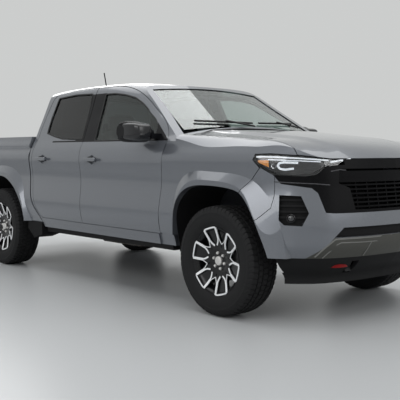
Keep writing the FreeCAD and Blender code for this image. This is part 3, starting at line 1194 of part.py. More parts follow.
wheel_spokes = []
across_way = along_y
up_way = column_way.cross(along_y).normalize()
if up_way.z > 0:
    up_way = up_way * -1
for way in (across_way, across_way * -1, up_way):
    wheel_spokes.append(rod(wheel_centre, wheel_centre + way * wheel_radius, grip_radius * 0.8))
keep("steering_wheel", grip.fuse([boss] + wheel_spokes))


# A seat's cushion, back and head rest between two sides
def seat(side_low, side_high, cushion, back):
    (x0, z0), (x1, z1) = cushion
    base = block(x0, x1, side_low, side_high, z0, z1)
    lean = [vec(x, side_low, z) for x, z in back]
    rest = Part.Face(outline(straight(lean))).extrude(along_y * (side_high - side_low))
    return base.fuse(rest)


def pairOf(shares):
    return [(point.x, point.z) for point in atSide(shares)]


front_cushion = pairOf([(-0.0037, 0.303),(0.0923, 0.4603)])
front_back = pairOf([(-0.0037, 0.4104),(0.0222, 0.4104),(-0.0166, 0.7931),(-0.0369, 0.7876)])
bench_cushion = pairOf([(-0.1588, 0.303),(-0.0665, 0.4548)])
bench_back = pairOf([(-0.1588, 0.4104),(-0.133, 0.4104),(-0.1477, 0.7765),(-0.1644, 0.7765)])
seat_in = 0.0707 * size.body_width
seat_out = 0.3351 * size.body_width
driver = seat(seat_in, seat_out, front_cushion, front_back)
keep("front_seats", Part.makeCompound([mirrored(driver), driver]))
keep("rear_seat", seat(-0.3351 * size.body_width, 0.3351 * size.body_width, bench_cushion, bench_back))
keep("spare_wheel", rod(placeAt(*[(-0.3841, 0, 0.259)][0]), placeAt(*[(-0.3841, 0, 0.3592)][0]), 0.0582 * size.body_length))
radiator = boxAt(*[(0.4063, -0.2094, 0.331),(0.4174, 0.2094, 0.6323)])
latch = boxAt(*[(0.4072, -0.0183, 0.6212),(0.4164, 0, 0.7765)]).common(topHalf(size.hood_wall + size.seat_gap))
keep("radiator", radiator.fuse([latch, mirrored(latch)]))
antenna_foot = placeAt(*[(-0.1477, -0.0524, 0.9872)][0])
antenna_tip = placeAt(*[(-0.1588, -0.0524, 1.1037)][0])
antenna_radius = 0.0033 * size.body_height
antenna = rod(antenna_foot, antenna_tip, antenna_radius).fuse(Part.makeCone(antenna_radius * 4, antenna_radius,
    antenna_radius * 6, placeAt(*[(-0.1487, -0.0524, 0.9872)][0]))).cut(cab_all)
keep("antenna", antenna)
doc.recompute()
for item in doc.Objects:
    if "Invalid" in item.State or "Error" in item.State:
        raise RuntimeError(f"{item.Label} did not build")
for label, item in nodes.items():
    if item.Shape.isNull() or not item.Shape.isValid():
        raise RuntimeError(f"{label} has no valid shape")
os.makedirs("parts", exist_ok=True)
for label, item in nodes.items():
    item.Shape.exportStep(f"parts/{label}.step")
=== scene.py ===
import json
import math
import bmesh
import bpy
import numpy as np
from mathutils import Euler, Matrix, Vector


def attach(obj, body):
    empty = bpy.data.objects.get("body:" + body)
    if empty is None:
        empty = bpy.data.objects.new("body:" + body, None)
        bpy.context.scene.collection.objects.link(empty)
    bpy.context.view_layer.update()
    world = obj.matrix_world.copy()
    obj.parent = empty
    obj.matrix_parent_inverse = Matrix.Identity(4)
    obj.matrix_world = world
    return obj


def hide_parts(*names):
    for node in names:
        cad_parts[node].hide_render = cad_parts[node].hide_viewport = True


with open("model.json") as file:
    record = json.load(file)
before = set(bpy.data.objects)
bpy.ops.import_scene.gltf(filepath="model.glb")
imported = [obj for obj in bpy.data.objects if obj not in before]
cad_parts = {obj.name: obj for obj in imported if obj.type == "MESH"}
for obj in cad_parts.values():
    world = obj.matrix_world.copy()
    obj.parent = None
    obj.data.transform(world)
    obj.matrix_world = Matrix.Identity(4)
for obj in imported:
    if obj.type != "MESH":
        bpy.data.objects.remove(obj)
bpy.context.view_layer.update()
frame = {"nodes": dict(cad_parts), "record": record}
nodes = frame["nodes"]
sceneNow = bpy.context.scene
print("frame loaded:", len(nodes), "nodes")

# Camera at the photograph's place
cameraSet = {
    "place": (5.7437, -4.494, 1.1739), "yaw": 139.1546, "pitch": -3.668, "lens": 67.62, "farEnd": 400,
}


def makeCamera(values):
    data = bpy.data.cameras.new("camera")
    data.lens = values["lens"]
    data.clip_end = values["farEnd"]
    camera = bpy.data.objects.new("camera", data)
    camera.location = values["place"]
    turn = math.radians(values["yaw"] - 90)
    camera.rotation_euler = Euler((math.radians(90 + values["pitch"]), 0, turn))
    sceneNow.collection.objects.link(camera)
    sceneNow.camera = camera


makeCamera(cameraSet)

# Studio: a pale floor that fades to the backdrop's colour far away, and soft lights.
# A lamp is (name, place, aim, size, power)
studio = {
    "floorColor": (0.5, 0.51, 0.508), "floorRough": 0.32, "floorSpecular": 0.35, "floorSize": 160,
    "farColor": (0.6, 0.61, 0.605), "fade": (14, 34),
    "skyColor": (0.6, 0.61, 0.605), "skyStrength": 1.0, "fillColor": (0.8, 0.83, 0.88), "fillStrength": 0.5,
    "lamps": (
        ("lampTop", (0.0, 0, 6.4), (0, 0, 0.9), (13, 8), 400),
        ("lampSide", (2.2, -9.0, 4.4), (0.6, 0, 0.8), (9, 4), 285),
        ("lampFront", (9.5, 1.5, 3.9), (1.8, 0, 0.8), (6, 4), 170),
        ("lampBack", (-7.5, 3.5, 4.2), (0, 0, 0.9), (6, 3), 170),
    ),
}


def newMaterial(name):
    made = bpy.data.materials.new(name)
    made.use_nodes = True
    tree = made.node_tree
    shader = tree.nodes["Principled BSDF"]
    return made, tree, shader


# A new node: each value goes to the input of its name, or else to the node's own setting
def addNode(tree, kind, **values):
    made = tree.nodes.new(kind)
    for key, value in values.items():
        if key in made.inputs:
            made.inputs[key].default_value = value
        else:
            setattr(made, key, value)
    return made


# A link from a node's output to another node's input, each by its name or number
def link(tree, source, outName, target, inName):
    tree.links.new(source.outputs[outName], target.inputs[inName])


# A node that carries a value over the first span to the second span
def addSpan(tree, taken, given=(0, 1)):
    names = ("From Min", "From Max", "To Min", "To Max")
    return addNode(tree, "ShaderNodeMapRange", **dict(zip(names, (*taken, *given))))


# Floor: with the distance from the middle its shader fades to an even glow in the far colour
def makeFloor(values):
    made, tree, shader = newMaterial("studioFloor")
    place = addNode(tree, "ShaderNodeTexCoord")
    reach = addNode(tree, "ShaderNodeVectorMath", operation="LENGTH")
    link(tree, place, "Object", reach, 0)
    fade = addSpan(tree, values["fade"])
    link(tree, reach, "Value", fade, "Value")
    shader.inputs["Base Color"].default_value = (*values["floorColor"], 1)
    shader.inputs["Roughness"].default_value = values["floorRough"]
    shader.inputs["Specular IOR Level"].default_value = values["floorSpecular"]
    glow = addNode(tree, "ShaderNodeEmission", Color=(*values["farColor"], 1))
    mix = addNode(tree, "ShaderNodeMixShader")
    link(tree, fade, "Result", mix, "Fac")
    link(tree, shader, "BSDF", mix, 1)
    link(tree, glow, "Emission", mix, 2)
    link(tree, mix, "Shader", tree.nodes["Material Output"], "Surface")
    half = values["floorSize"] / 2
    mesh = bpy.data.meshes.new("floor")
    corners = [(-half, -half, 0), (half, -half, 0), (half, half, 0), (-half, half, 0)]
    mesh.from_pydata(corners, [], [(0, 1, 2, 3)])
    mesh.materials.append(made)
    floor = bpy.data.objects.new("floor", mesh)
    sceneNow.collection.objects.link(floor)


# The camera, mirror-like faces and glass see the sky's colour, and everything else is lit by the fill colour
def makeWorld(values):
    world = bpy.data.worlds.new("studioWorld")
    world.use_nodes = True
    sceneNow.world = world
    tree = world.node_tree
    tree.nodes.clear()
    path = addNode(tree, "ShaderNodeLightPath")
    seen = addNode(tree, "ShaderNodeMath", operation="MAXIMUM")
    seenMore = addNode(tree, "ShaderNodeMath", operation="MAXIMUM")
    link(tree, path, "Is Camera Ray", seen, 0)
    link(tree, path, "Is Glossy Ray", seen, 1)
    link(tree, seen, "Value", seenMore, 0)
    link(tree, path, "Is Transmission Ray", seenMore, 1)
    fill, view = (addNode(tree, "ShaderNodeBackground", Strength=values[f"{key}Strength"],
        Color=(*values[f"{key}Color"], 1)) for key in ("fill", "sky"))
    mix = addNode(tree, "ShaderNodeMixShader")
    out = addNode(tree, "ShaderNodeOutputWorld")
    link(tree, seenMore, "Value", mix, "Fac")
    link(tree, fill, "Background", mix, 1)
    link(tree, view, "Background", mix, 2)
    link(tree, mix, "Shader", out, "Surface")


def makeLights(values):
    for name, place, aim, area, power in values["lamps"]:
        data = bpy.data.lights.new(name, "AREA")
        data.shape = "RECTANGLE"
        data.size, data.size_y = area
        data.energy = power
        lamp = bpy.data.objects.new(name, data)
        lamp.location = place
        lamp.rotation_euler = (Vector(aim) - Vector(place)).to_track_quat("-Z", "Y").to_euler()
        sceneNow.collection.objects.link(lamp)


makeFloor(studio)
makeWorld(studio)
makeLights(studio)
sceneNow.view_settings.view_transform = "Standard"
print("camera and studio ready")

# Finishes: each is a base colour that drifts to a second one, with grain in its roughness and relief
finishes = {
    "paint": {"base": (0.136, 0.146, 0.165), "second": (0.168, 0.179, 0.199), "scale": 900,
        "rough": (0.26, 0.34), "metallic": 0.62, "coat": 1.0},
    "glossBlack": {"base": (0.006, 0.006, 0.007), "second": (0.01, 0.01, 0.011), "scale": 6,
        "rough": (0.16, 0.24), "specular": 0.14},
    "blackPlastic": {"base": (0.008, 0.008, 0.0085), "second": (0.014, 0.014, 0.0145), "scale": 420,
        "rough": (0.52, 0.7), "bump": 0.25, "bumpDeep": 0.0006, "specular": 0.1},
    "blackTrim": {"base": (0.004, 0.004, 0.0045), "second": (0.008, 0.008, 0.0085), "scale": 200,
        "rough": (0.4, 0.52), "specular": 0.3},
    "grilleBlack": {"base": (0.003, 0.003, 0.0035), "second": (0.005, 0.005, 0.0055), "scale": 90,
        "rough": (0.34, 0.46), "specular": 0.07},
    "mirrorBlack": {"base": (0.008, 0.008, 0.0095), "second": (0.012, 0.012, 0.014), "scale": 60,
        "rough": (0.1, 0.16), "specular": 0.5},
    "reverseGlass": {"base": (0.55, 0.56, 0.57), "second": (0.66, 0.67, 0.68), "scale": 220,
        "rough": (0.1, 0.18), "coat": 0.6, "coatRough": 0.05},
    # Painted highlight: a lighter metallic grey stands in for the light that the gloss-black frame's edges
    # catch
    "blackEdgeHighlight": {"base": (0.05, 0.05, 0.054), "second": (0.07, 0.07, 0.075), "scale": 60,
        "rough": (0.16, 0.24), "metallic": 0.4},
    # Painted highlight: a light grey stands in for the light that the skid plate's edges and folds catch
    "skidHighlight": {"base": (0.15, 0.15, 0.142), "second": (0.185, 0.185, 0.176), "scale": 700,
        "rough": (0.34, 0.44), "metallic": 0.5},
    "lampBlack": {"base": (0.006, 0.006, 0.007), "second": (0.012, 0.012, 0.013), "scale": 90,
        "rough": (0.16, 0.26), "specular": 0.5},
    "satinMetal": {"base": (0.06, 0.06, 0.054), "second": (0.078, 0.078, 0.07), "scale": 700,
        "rough": (0.38, 0.48), "metallic": 0.5, "specular": 0.3},
    "alloy": {"base": (0.005, 0.005, 0.006), "second": (0.009, 0.009, 0.01), "scale": 300,
        "rough": (0.24, 0.34), "specular": 0.2, "metallic": 0.3, "coat": 0.4, "coatRough": 0.08},
    "machined": {"base": (0.86, 0.87, 0.88), "second": (0.93, 0.94, 0.95), "scale": 1400,
        "rough": (0.3, 0.42), "metallic": 0.55},
    "capMetal": {"base": (0.62, 0.61, 0.59), "second": (0.7, 0.69, 0.67), "scale": 500,
        "rough": (0.3, 0.4), "metallic": 0.6},
    "castMetal": {"base": (0.1, 0.1, 0.102), "second": (0.17, 0.168, 0.165), "scale": 60,
        "rough": (0.45, 0.75), "metallic": 0.6, "bump": 0.5, "bumpDeep": 0.001},
    "chassisSteel": {"base": (0.012, 0.012, 0.012), "second": (0.028, 0.027, 0.026), "scale": 40,
        "rough": (0.35, 0.6), "bump": 0.2, "bumpDeep": 0.0006},
    "pipeSteel": {"base": (0.26, 0.25, 0.24), "second": (0.17, 0.15, 0.13), "scale": 14,
        "rough": (0.3, 0.55), "metallic": 0.9},
    "rubber": {"base": (0.008, 0.008, 0.0085), "second": (0.015, 0.015, 0.0155), "scale": 260,
        "rough": (0.62, 0.82), "bump": 0.3, "bumpDeep": 0.0005, "specular": 0.2},
    "wheelLeather": {"base": (0.016, 0.016, 0.017), "second": (0.026, 0.026, 0.027), "scale": 500,
        "rough": (0.42, 0.58), "bump": 0.4, "bumpDeep": 0.0006},
    "seatCloth": {"base": (0.025, 0.025, 0.027), "second": (0.045, 0.045, 0.048), "scale": 900,
        "rough": (0.75, 0.95), "bump": 0.6, "bumpDeep": 0.0008},
    "fogGlass": {"base": (0.035, 0.036, 0.038), "second": (0.06, 0.061, 0.063), "scale": 300,
        "rough": (0.1, 0.18), "metallic": 0.5, "coat": 0.6, "coatRough": 0.05},
    "redMetal": {"base": (0.15, 0.003, 0.004), "second": (0.2, 0.006, 0.006), "scale": 200,
        "rough": (0.34, 0.44), "specular": 0.15},
    "chrome": {"base": (0.72, 0.73, 0.74), "second": (0.8, 0.81, 0.82), "scale": 30,
        "rough": (0.06, 0.12), "metallic": 1.0},
    "amber": {"base": (0.86, 0.26, 0.008), "second": (0.95, 0.34, 0.012), "scale": 160,
        "rough": (0.12, 0.22), "coat": 0.8, "coatRough": 0.05},
    "lightGuide": {"base": (0.86, 0.88, 0.9), "second": (0.93, 0.94, 0.95), "scale": 120,
        "rough": (0.1, 0.2), "coat": 0.6, "coatRough": 0.05,
        "glow": (0.85, 0.92, 1.0), "glowStrength": 0.35},
}


# Colour and roughness follow one fine noise on the object's own coordinates:
# low noise gives the base colour and the first roughness, high noise the second ones
grainSet = {"detail": 4.0, "color": (0.35, 0.65), "rough": (0.3, 0.7)}


def addGrain(tree, shader, values):
    place = addNode(tree, "ShaderNodeTexCoord")
    noise = addNode(tree, "ShaderNodeTexNoise", Scale=float(values["scale"]), Detail=grainSet["detail"])
    link(tree, place, "Object", noise, "Vector")
    ramp = addNode(tree, "ShaderNodeValToRGB")
    colors = (values["base"], values["second"])
    for stop, level, color in zip(ramp.color_ramp.elements, grainSet["color"], colors):
        stop.position = level
        stop.color = (*color, 1)
    link(tree, noise, "Fac", ramp, "Fac")
    link(tree, ramp, "Color", shader, "Base Color")
    rough = addSpan(tree, grainSet["rough"], values["rough"])
    link(tree, noise, "Fac", rough, "Value")
    link(tree, rough, "Result", shader, "Roughness")
    return place, noise


def setShader(tree, shader, values):
    place, noise = addGrain(tree, shader, values)
    shader.inputs["Metallic"].default_value = values.get("metallic", 0)
    shader.inputs["Specular IOR Level"].default_value = values.get("specular", 0.5)
    shader.inputs["Coat Weight"].default_value = values.get("coat", 0)
    shader.inputs["Coat Roughness"].default_value = values.get("coatRough", 0.03)
    if "glow" in values:
        shader.inputs["Emission Color"].default_value = (*values["glow"], 1)
        shader.inputs["Emission Strength"].default_value = values["glowStrength"]
    if "bump" in values:
        bump = addNode(tree, "ShaderNodeBump", Strength=values["bump"], Distance=values["bumpDeep"])
        link(tree, noise, "Fac", bump, "Height")
        link(tree, bump, "Normal", shader, "Normal")
    return place


def makeFinish(name, values):
    made, tree, shader = newMaterial(name)
    setShader(tree, shader, values)
    return made


def combine(tree, operation, before, now):
    if before is None:
        return now
    both = addNode(tree, "ShaderNodeMath", operation=operation)
    link(tree, before, "Value", both, 0)
    link(tree, now, "Value", both, 1)
    return both


# Two finishes on one node: the second lies where a point is on the inner side of every plane of any one zone.
# A plane is (a, b, c, d): a x + b |y| + c z is more than d
def makeZoned(name, first, second, zones):
    made, tree, shader = newMaterial(name)
    place = setShader(tree, shader, first)
    other = addNode(tree, "ShaderNodeBsdfPrincipled")
    setShader(tree, other, second)
    size = addNode(tree, "ShaderNodeVectorMath", operation="ABSOLUTE")
    link(tree, place, "Object", size, 0)
    split = addNode(tree, "ShaderNodeSeparateXYZ")
    link(tree, place, "Object", split, "Vector")
    splitSize = addNode(tree, "ShaderNodeSeparateXYZ")
    link(tree, size, "Vector", splitSize, "Vector")
    point = addNode(tree, "ShaderNodeCombineXYZ")
    for axis, source in (("X", split), ("Y", splitSize), ("Z", split)):
        link(tree, source, axis, point, axis)
    total = None
    for zone in zones:
        inside = None
        for a, b, c, d in zone:
            dot = addNode(tree, "ShaderNodeVectorMath", operation="DOT_PRODUCT")
            link(tree, point, "Vector", dot, 0)
            dot.inputs[1].default_value = (a, b, c)
            past = addNode(tree, "ShaderNodeMath", operation="GREATER_THAN")
            link(tree, dot, "Value", past, 0)
            past.inputs[1].default_value = d
            inside = combine(tree, "MULTIPLY", inside, past)
        total = combine(tree, "MAXIMUM", total, inside)
    mix = addNode(tree, "ShaderNodeMixShader")
    link(tree, total, "Value", mix, "Fac")
    link(tree, shader, "BSDF", mix, 1)
    link(tree, other, "BSDF", mix, 2)
    link(tree, mix, "Shader", tree.nodes["Material Output"], "Surface")
    return made


glasses = {
    "clearGlass": {"base": (0.88, 0.97, 0.945), "rough": (0.0, 0.02), "transmission": 1.0, "ior": 2.0},
    "sideGlass": {"base": (0.36, 0.43, 0.41), "rough": (0.0, 0.02), "transmission": 1.0, "ior": 1.45},
    "darkGlass": {"base": (0.035, 0.04, 0.042), "rough": (0.0, 0.02), "transmission": 1.0},
    "lens": {"base": (0.94, 0.95, 0.96), "rough": (0.0, 0.03), "transmission": 1.0},
    "redLens": {"base": (0.26, 0.004, 0.006), "rough": (0.05, 0.12), "transmission": 0.25},
}

glassGrain = {"scale": 3.0, "detail": 2.0}


# Glass: only its roughness follows a noise, on the object's own coordinates
def makeGlass(name, values):
    made, tree, shader = newMaterial(name)
    place = addNode(tree, "ShaderNodeTexCoord")
    noise = addNode(tree, "ShaderNodeTexNoise", Scale=glassGrain["scale"], Detail=glassGrain["detail"])
    link(tree, place, "Object", noise, "Vector")
    rough = addSpan(tree, (0, 1), values["rough"])
    link(tree, noise, "Fac", rough, "Value")
    link(tree, rough, "Result", shader, "Roughness")
    shader.inputs["Base Color"].default_value = (*values["base"], 1)
    shader.inputs["Transmission Weight"].default_value = values["transmission"]
    shader.inputs["IOR"].default_value = values.get("ior", 1.45)
    return made


finish = {name: makeFinish(name, values) for name, values in finishes.items()}
finish.update({name: makeGlass(name, values) for name, values in glasses.items()})

slotFinish = {
    "paint": "paint", "clear_glass": "clearGlass", "dark_glass": "darkGlass", "gloss_black": "glossBlack",
    "lens": "lens", "black_plastic": "blackPlastic", "cast_metal": "castMetal", "tyre": "rubber",
    "alloy": "alloy", "satin_metal": "satinMetal", "red_lens": "redLens", "chassis_steel": "chassisSteel",
    "brushed_pipe": "pipeSteel", "wheel_leather": "wheelLeather", "seat_cloth": "seatCloth",
    "red_metal": "redMetal",
}
for row in frame["record"]["subparts"]:
    mesh = nodes[row["node"]].data
    mesh.materials.clear()
    mesh.materials.append(finish[slotFinish[row["material_slot"]]])

# Black pillar cover between the side windows, black sail at the mirror's foot and black band along the belt
doorZones = [
    [(1, 0, 0.2, 0.056), (-1, 0, -0.17, -0.352), (0, 0, 1, 1.272), (0, 0, -1, -1.7)],
    [(1, 0, 0, 0.95), (0, 0, 1, 1.272), (-0.667, 0, -1, -2.046)],
    [(0, 0, 1, 1.262), (0, 0, -1, -1.276), (1, 0, 0, -0.6)],
]
nodes["grille"].data.materials[0] = finish["grilleBlack"]
for name in ("front_door_glass_right", "front_door_glass_left"):
    nodes[name].data.materials[0] = finish["sideGlass"]
finish["doorPaint"] = makeZoned("doorPaint", finishes["paint"], finishes["glossBlack"], doorZones)
for name in ("front_door_right", "front_door_left", "rear_door_right", "rear_door_left"):
    nodes[name].data.materials[0] = finish["doorPaint"]
print("finishes ready")


# Distance under which points are merged, and the angle in degrees from which an edge is sharp
meshSet = {"merge": 0.00001, "sharp": 35}


# A new mesh from points and four-sided faces: doubles merged, faces turned outwards
def makePiece(name, points, quads, finishName, body, slotName, replaced=()):
    mesh = bpy.data.meshes.new(name)
    mesh.from_pydata(np.asarray(points).reshape(-1, 3).tolist(), [], np.asarray(quads).tolist())
    work = bmesh.new()
    work.from_mesh(mesh)
    bmesh.ops.remove_doubles(work, verts=work.verts, dist=meshSet["merge"])
    bmesh.ops.recalc_face_normals(work, faces=work.faces)
    work.to_mesh(mesh)
    work.free()
    mesh.materials.append(finish[finishName])
    mesh.polygons.foreach_set("use_smooth", np.full(len(mesh.polygons), True))
    mesh.set_sharp_from_angle(angle=math.radians(meshSet["sharp"]))
    piece = bpy.data.objects.new(name, mesh)
    sceneNow.collection.objects.link(piece)
    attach(piece, body)
    if replaced:
        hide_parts(*replaced)
    return piece


# Pieces on both sides from parts made on one of them: the other side's have y turned over.
# A body other than the truck, and a node that a piece replaces, has the side at the end of its name
def makeSides(rows, made="right"):
    for side in ("right", "left"):
        flip = (1, 1 if side == made else -1, 1)
        for name, (points, quads), finishName, body, slotName, *replaced in rows:
            rideOn = body if body == "truck" else f"{body}_{side}"
            hidden = [f"{node}_{side}" for node in replaced]
            placed = np.reshape(points, (-1, 3)) * flip
            makePiece(f"{name}_{side}", placed, quads, finishName, rideOn, slotName, hidden)


# Faces of a grid of rows and columns, closed round either way where asked
def gridQuads(rows, columns, ringRows=False, ringColumns=False):
    row, column = np.meshgrid(np.arange(rows - (not ringRows)), np.arange(columns - (not ringColumns)),
        indexing="ij")
    rowNext = (row + 1) % rows
    columnNext = (column + 1) % columns
    corners = [row * columns + column, rowNext * columns + column, rowNext * columns + columnNext,
        row * columns + columnNext]
    return np.stack(corners, -1).reshape(-1, 4)


# Several point and face sets as one
def joinSets(sets):
    points = [np.asarray(part[0]).reshape(-1, 3) for part in sets]
    starts = np.cumsum([0] + [len(part) for part in points[:-1]])
    return np.concatenate(points), np.concatenate([part[1] + start for part, start in zip(sets, starts)])


# Both sides of a set: the second is the first with y turned over
def bothSides(part):
    points = np.reshape(part[0], (-1, 3))
    return [(points, part[1]), (points * (1, -1, 1), part[1])]


def unit(vectors):
    return vectors / np.linalg.norm(vectors, axis=-1, keepdims=True)


# Rows of points with one more row at each end, drawn to the end's middle, so that their tube is closed
def closeEnds(points):
    count = points.shape[1]
    first, last = (np.repeat(end.mean(1, keepdims=True), count, 1) for end in (points[:1], points[-1:]))
    return np.concatenate([first, points, last])


# A closed profile carried along a path, its ends closed unless the path is a ring:
# point = path + side * first + rise * second, side = the path's way x up, rise = side x way
def sweep(path, profile, up, ring=False):
    profile = np.asarray(profile, float)
    way = unit(np.roll(path, -1, 0) - np.roll(path, 1, 0) if ring else np.gradient(path, axis=0))
    side = unit(np.cross(way, np.broadcast_to(np.asarray(up, float), path.shape)))
    rise = np.cross(side, way)
    points = path[:, None] + side[:, None] * profile[None, :, :1] + rise[:, None] * profile[None, :, 1:]
    if not ring:
        points = closeEnds(points)
    return points, gridQuads(len(points), len(profile), ring, True)


# Closed profiles turned about an axis keep this far from it
axisGap = 0.0001


# A closed profile of (along, radius) turned about an axis through a place:
# point = place + along * axis + radius * (cos * side + sin * up)
def turned(profile, count, place=(0, 0, 0), axis=(0, 1, 0)):
    profile = np.asarray(profile, float)
    along, radius = profile[None, :, :1], np.maximum(profile[None, :, 1:], axisGap)
    axis = unit(np.asarray(axis, float))
    side = unit(np.cross(axis, (0, 0, 1)))
    up = np.cross(side, axis)
    angle = np.linspace(0, 2 * np.pi, count, endpoint=False)
    spin = np.cos(angle)[:, None] * side + np.sin(angle)[:, None] * up
    points = np.asarray(place) + along * axis + radius * spin[:, None]
    return points, gridQuads(count, len(profile), True, True)


# Points turned about the y axis: x cos - z sin, y, x sin + z cos
def spinPoints(points, angle):
    x, y, z = np.moveaxis(np.asarray(points), -1, 0)
    return np.stack([x * np.cos(angle) - z * np.sin(angle), y, x * np.sin(angle) + z * np.cos(angle)], -1)


# Copies of a set turned about the wheel's axis by equal steps
def aroundAxis(part, count):
    return [(spinPoints(part[0], angle), part[1]) for angle in np.arange(count) * 2 * np.pi / count]


# A rectangle profile with eased upper corners. A profile in a table below holds its values
def barProfile(half, low, high, ease):
    return [(-half, low), (half, low), (half, high - ease), (half - ease, high), (-half + ease, high),
        (-half, high - ease)]


# Points spread evenly along a line of given points
def alongLine(points, count):
    points = np.asarray(points, float)
    run = np.concatenate([[0], np.cumsum(np.linalg.norm(np.diff(points, axis=0), axis=1))])
    at = np.linspace(0, run[-1], count)
    return np.stack([np.interp(at, run, points[:, axis]) for axis in range(points.shape[1])], -1)


# A closed plate over a grid of front points, with its back moved by a vector.
# The first and last rows fold the back onto the front, which closes the ends
def plate(points, back):
    ring = np.concatenate([points, (points + back)[:, ::-1]], 1)
    first, last = (np.concatenate([end, end[:, ::-1]], 1) for end in (points[:1], points[-1:]))
    ring = np.concatenate([first, ring, last])
    return ring, gridQuads(*ring.shape[:2], False, True)


# Rounded cube from a grid on a sphere's two angles: point = sign(s) |s| ** power
def softCube(power, columns, rows):
    around, up = np.meshgrid(np.linspace(0, 2 * np.pi, columns, endpoint=False),
        np.linspace(-np.pi / 2, np.pi / 2, rows), indexing="ij")
    ball = np.stack([np.cos(up) * np.cos(around), np.cos(up) * np.sin(around), np.sin(up)], -1)
    return np.sign(ball) * np.abs(ball) ** power


# Rounded box: point = middle + half * rounded cube
def softBox(middle, half, power=0.25, columns=32, rows=17):
    points = np.asarray(middle) + softCube(power, columns, rows) * np.asarray(half)
    return points.reshape(-1, 3), gridQuads(columns, rows, True, False)


# Wheels: tyres with a blocked tread, dark rims with twin spokes edged in machined metal.
# The side wall is (out, radius), the face is how far out the spokes lie at each radius
wheelSet = {
    "radius": 0.397, "side": 0.828, "turn": 45, "axles": {"front": 1.8, "rear": -1.537},
    "pitch": 60, "steps": (0, 0.07, 0.19, 0.26, 0.5, 0.57, 0.69, 0.76), "cuts": ((0.05, 0.22), (0.55, 0.72)),
    "grooveDeep": 0.008, "crossDeep": 0.006, "shear": 0.42, "treadHalf": 0.112,
    "treadGrooves": (-0.07, -0.026, 0.026, 0.07), "grooveHalf": 0.0048, "grooveEase": 1.3,
    "crownEdge": 0.0055, "crownMiddle": 0.0012, "shoulder": (0.35, 0.03), "beadHalf": 0.1,
    "sideWall": ((0.1045, 0.2408), (0.1085, 0.244), (0.112, 0.252), (0.1175, 0.258), (0.119, 0.266),
        (0.1245, 0.274), (0.1285, 0.29), (0.1315, 0.31), (0.1322, 0.328), (0.1312, 0.343),
        (0.1325, 0.346), (0.13, 0.356), (0.127, 0.366), (0.1215, 0.378)),
    "faceOut": ((0.0, 0.1, 0.15, 0.205, 0.232, 0.25), (0.074, 0.077, 0.087, 0.101, 0.1125, 0.1135)),
}


# Tyre: radius = profile radius - groove depth. A groove lies where the place across or round is in its band.
# Across the tread, profile radius = outer radius - edge * s ** 4 - middle * s ** 2, with s = line / half
def tyrePart(values):
    sideWall = np.array(values["sideWall"])
    half, bead = values["treadHalf"], values["beadHalf"]
    steps = values["grooveHalf"] * np.array((values["grooveEase"], 1, -1, -values["grooveEase"]))
    grooves = values["treadGrooves"]
    lines = np.array([half, *(middle + step for middle in reversed(grooves) for step in steps), -half])
    place = lines / half
    crown = values["radius"] - values["crownEdge"] * place ** 4 - values["crownMiddle"] * place ** 2
    out = np.concatenate([sideWall[:, 0], lines, -sideWall[::-1, 0], [-bead, bead]])
    radius = np.concatenate([sideWall[:, 1], crown, sideWall[::-1, 1], np.full(2, sideWall[0, 1])])
    isTread, inGroove = np.zeros(len(out)), np.zeros(len(out))
    tread = slice(len(sideWall), len(sideWall) + len(lines))
    isTread[tread] = 1
    inGroove[tread] = [0, 0] + [1, 1, 0, 0] * len(grooves)
    shoulderFrom, shoulderSpan = values["shoulder"]
    shoulder = np.clip((radius - shoulderFrom) / shoulderSpan, 0, 1) * (1 - isTread)
    rib = np.searchsorted(grooves, out)
    phase = np.tile(values["steps"], values["pitch"])
    block = np.repeat(np.arange(values["pitch"]), len(values["steps"]))
    angle = (block + phase) * 2 * np.pi / values["pitch"]
    even, odd = (((phase > start) & (phase < end)).astype(float) for start, end in values["cuts"])
    crossCut = np.where(rib[None, :] % 2 == 0, even[:, None], odd[:, None]) * values["crossDeep"]
    deep = np.maximum(crossCut * (isTread + shoulder)[None, :], (inGroove * values["grooveDeep"])[None, :])
    lean = values["shear"] * (np.abs(out) * isTread + half * shoulder)
    turn = angle[:, None] + lean[None, :]
    reach = radius[None, :] - deep
    across = np.broadcast_to(out[None, :], reach.shape)
    points = np.stack([reach * np.cos(turn), across, reach * np.sin(turn)], -1)
    return points, gridQuads(len(angle), len(out), True, True)


# Spoke: half widths and pocket depth are tables along the radius, carried as a closed section.
# The bracket and the line are the machined edges, as (radius, side)
spokeSet = {
    "along": (0.088, 0.106, 0.118, 0.122, 0.135, 0.15, 0.18, 0.208, 0.224, 0.228, 0.2365),
    "half": (0.046, 0.06, 0.06, 0.0595, 0.0575, 0.056, 0.06, 0.065, 0.068, 0.0685, 0.069),
    "pocket": (0.008, 0.01, 0.012, 0.016, 0.026, 0.036, 0.042, 0.047, 0.05, 0.05, 0.05),
    "deep": (0, 0, 0, 0.01, 0.013, 0.013, 0.013, 0.013, 0.013, 0, 0), "wall": 0.022, "edge": 0.0025,
    "bracket": ((0.112, 0.012), (0.12, 0.02), (0.134, 0.033), (0.152, 0.043), (0.178, 0.048),
        (0.205, 0.053), (0.229, 0.0575), (0.235, 0.057), (0.2385, 0.04), (0.24, 0)),
    "line": ((0.233, 0.0665), (0.205, 0.0625), (0.178, 0.0575), (0.156, 0.0535), (0.138, 0.0555),
        (0.122, 0.06), (0.108, 0.0625)),
    "bracketHalf": 0.006, "lineHalf": 0.0028, "edgeProfile": (-0.004, 0.0018, 0.0008),
}


def faceOut(radius):
    return np.interp(radius, *wheelSet["faceOut"])


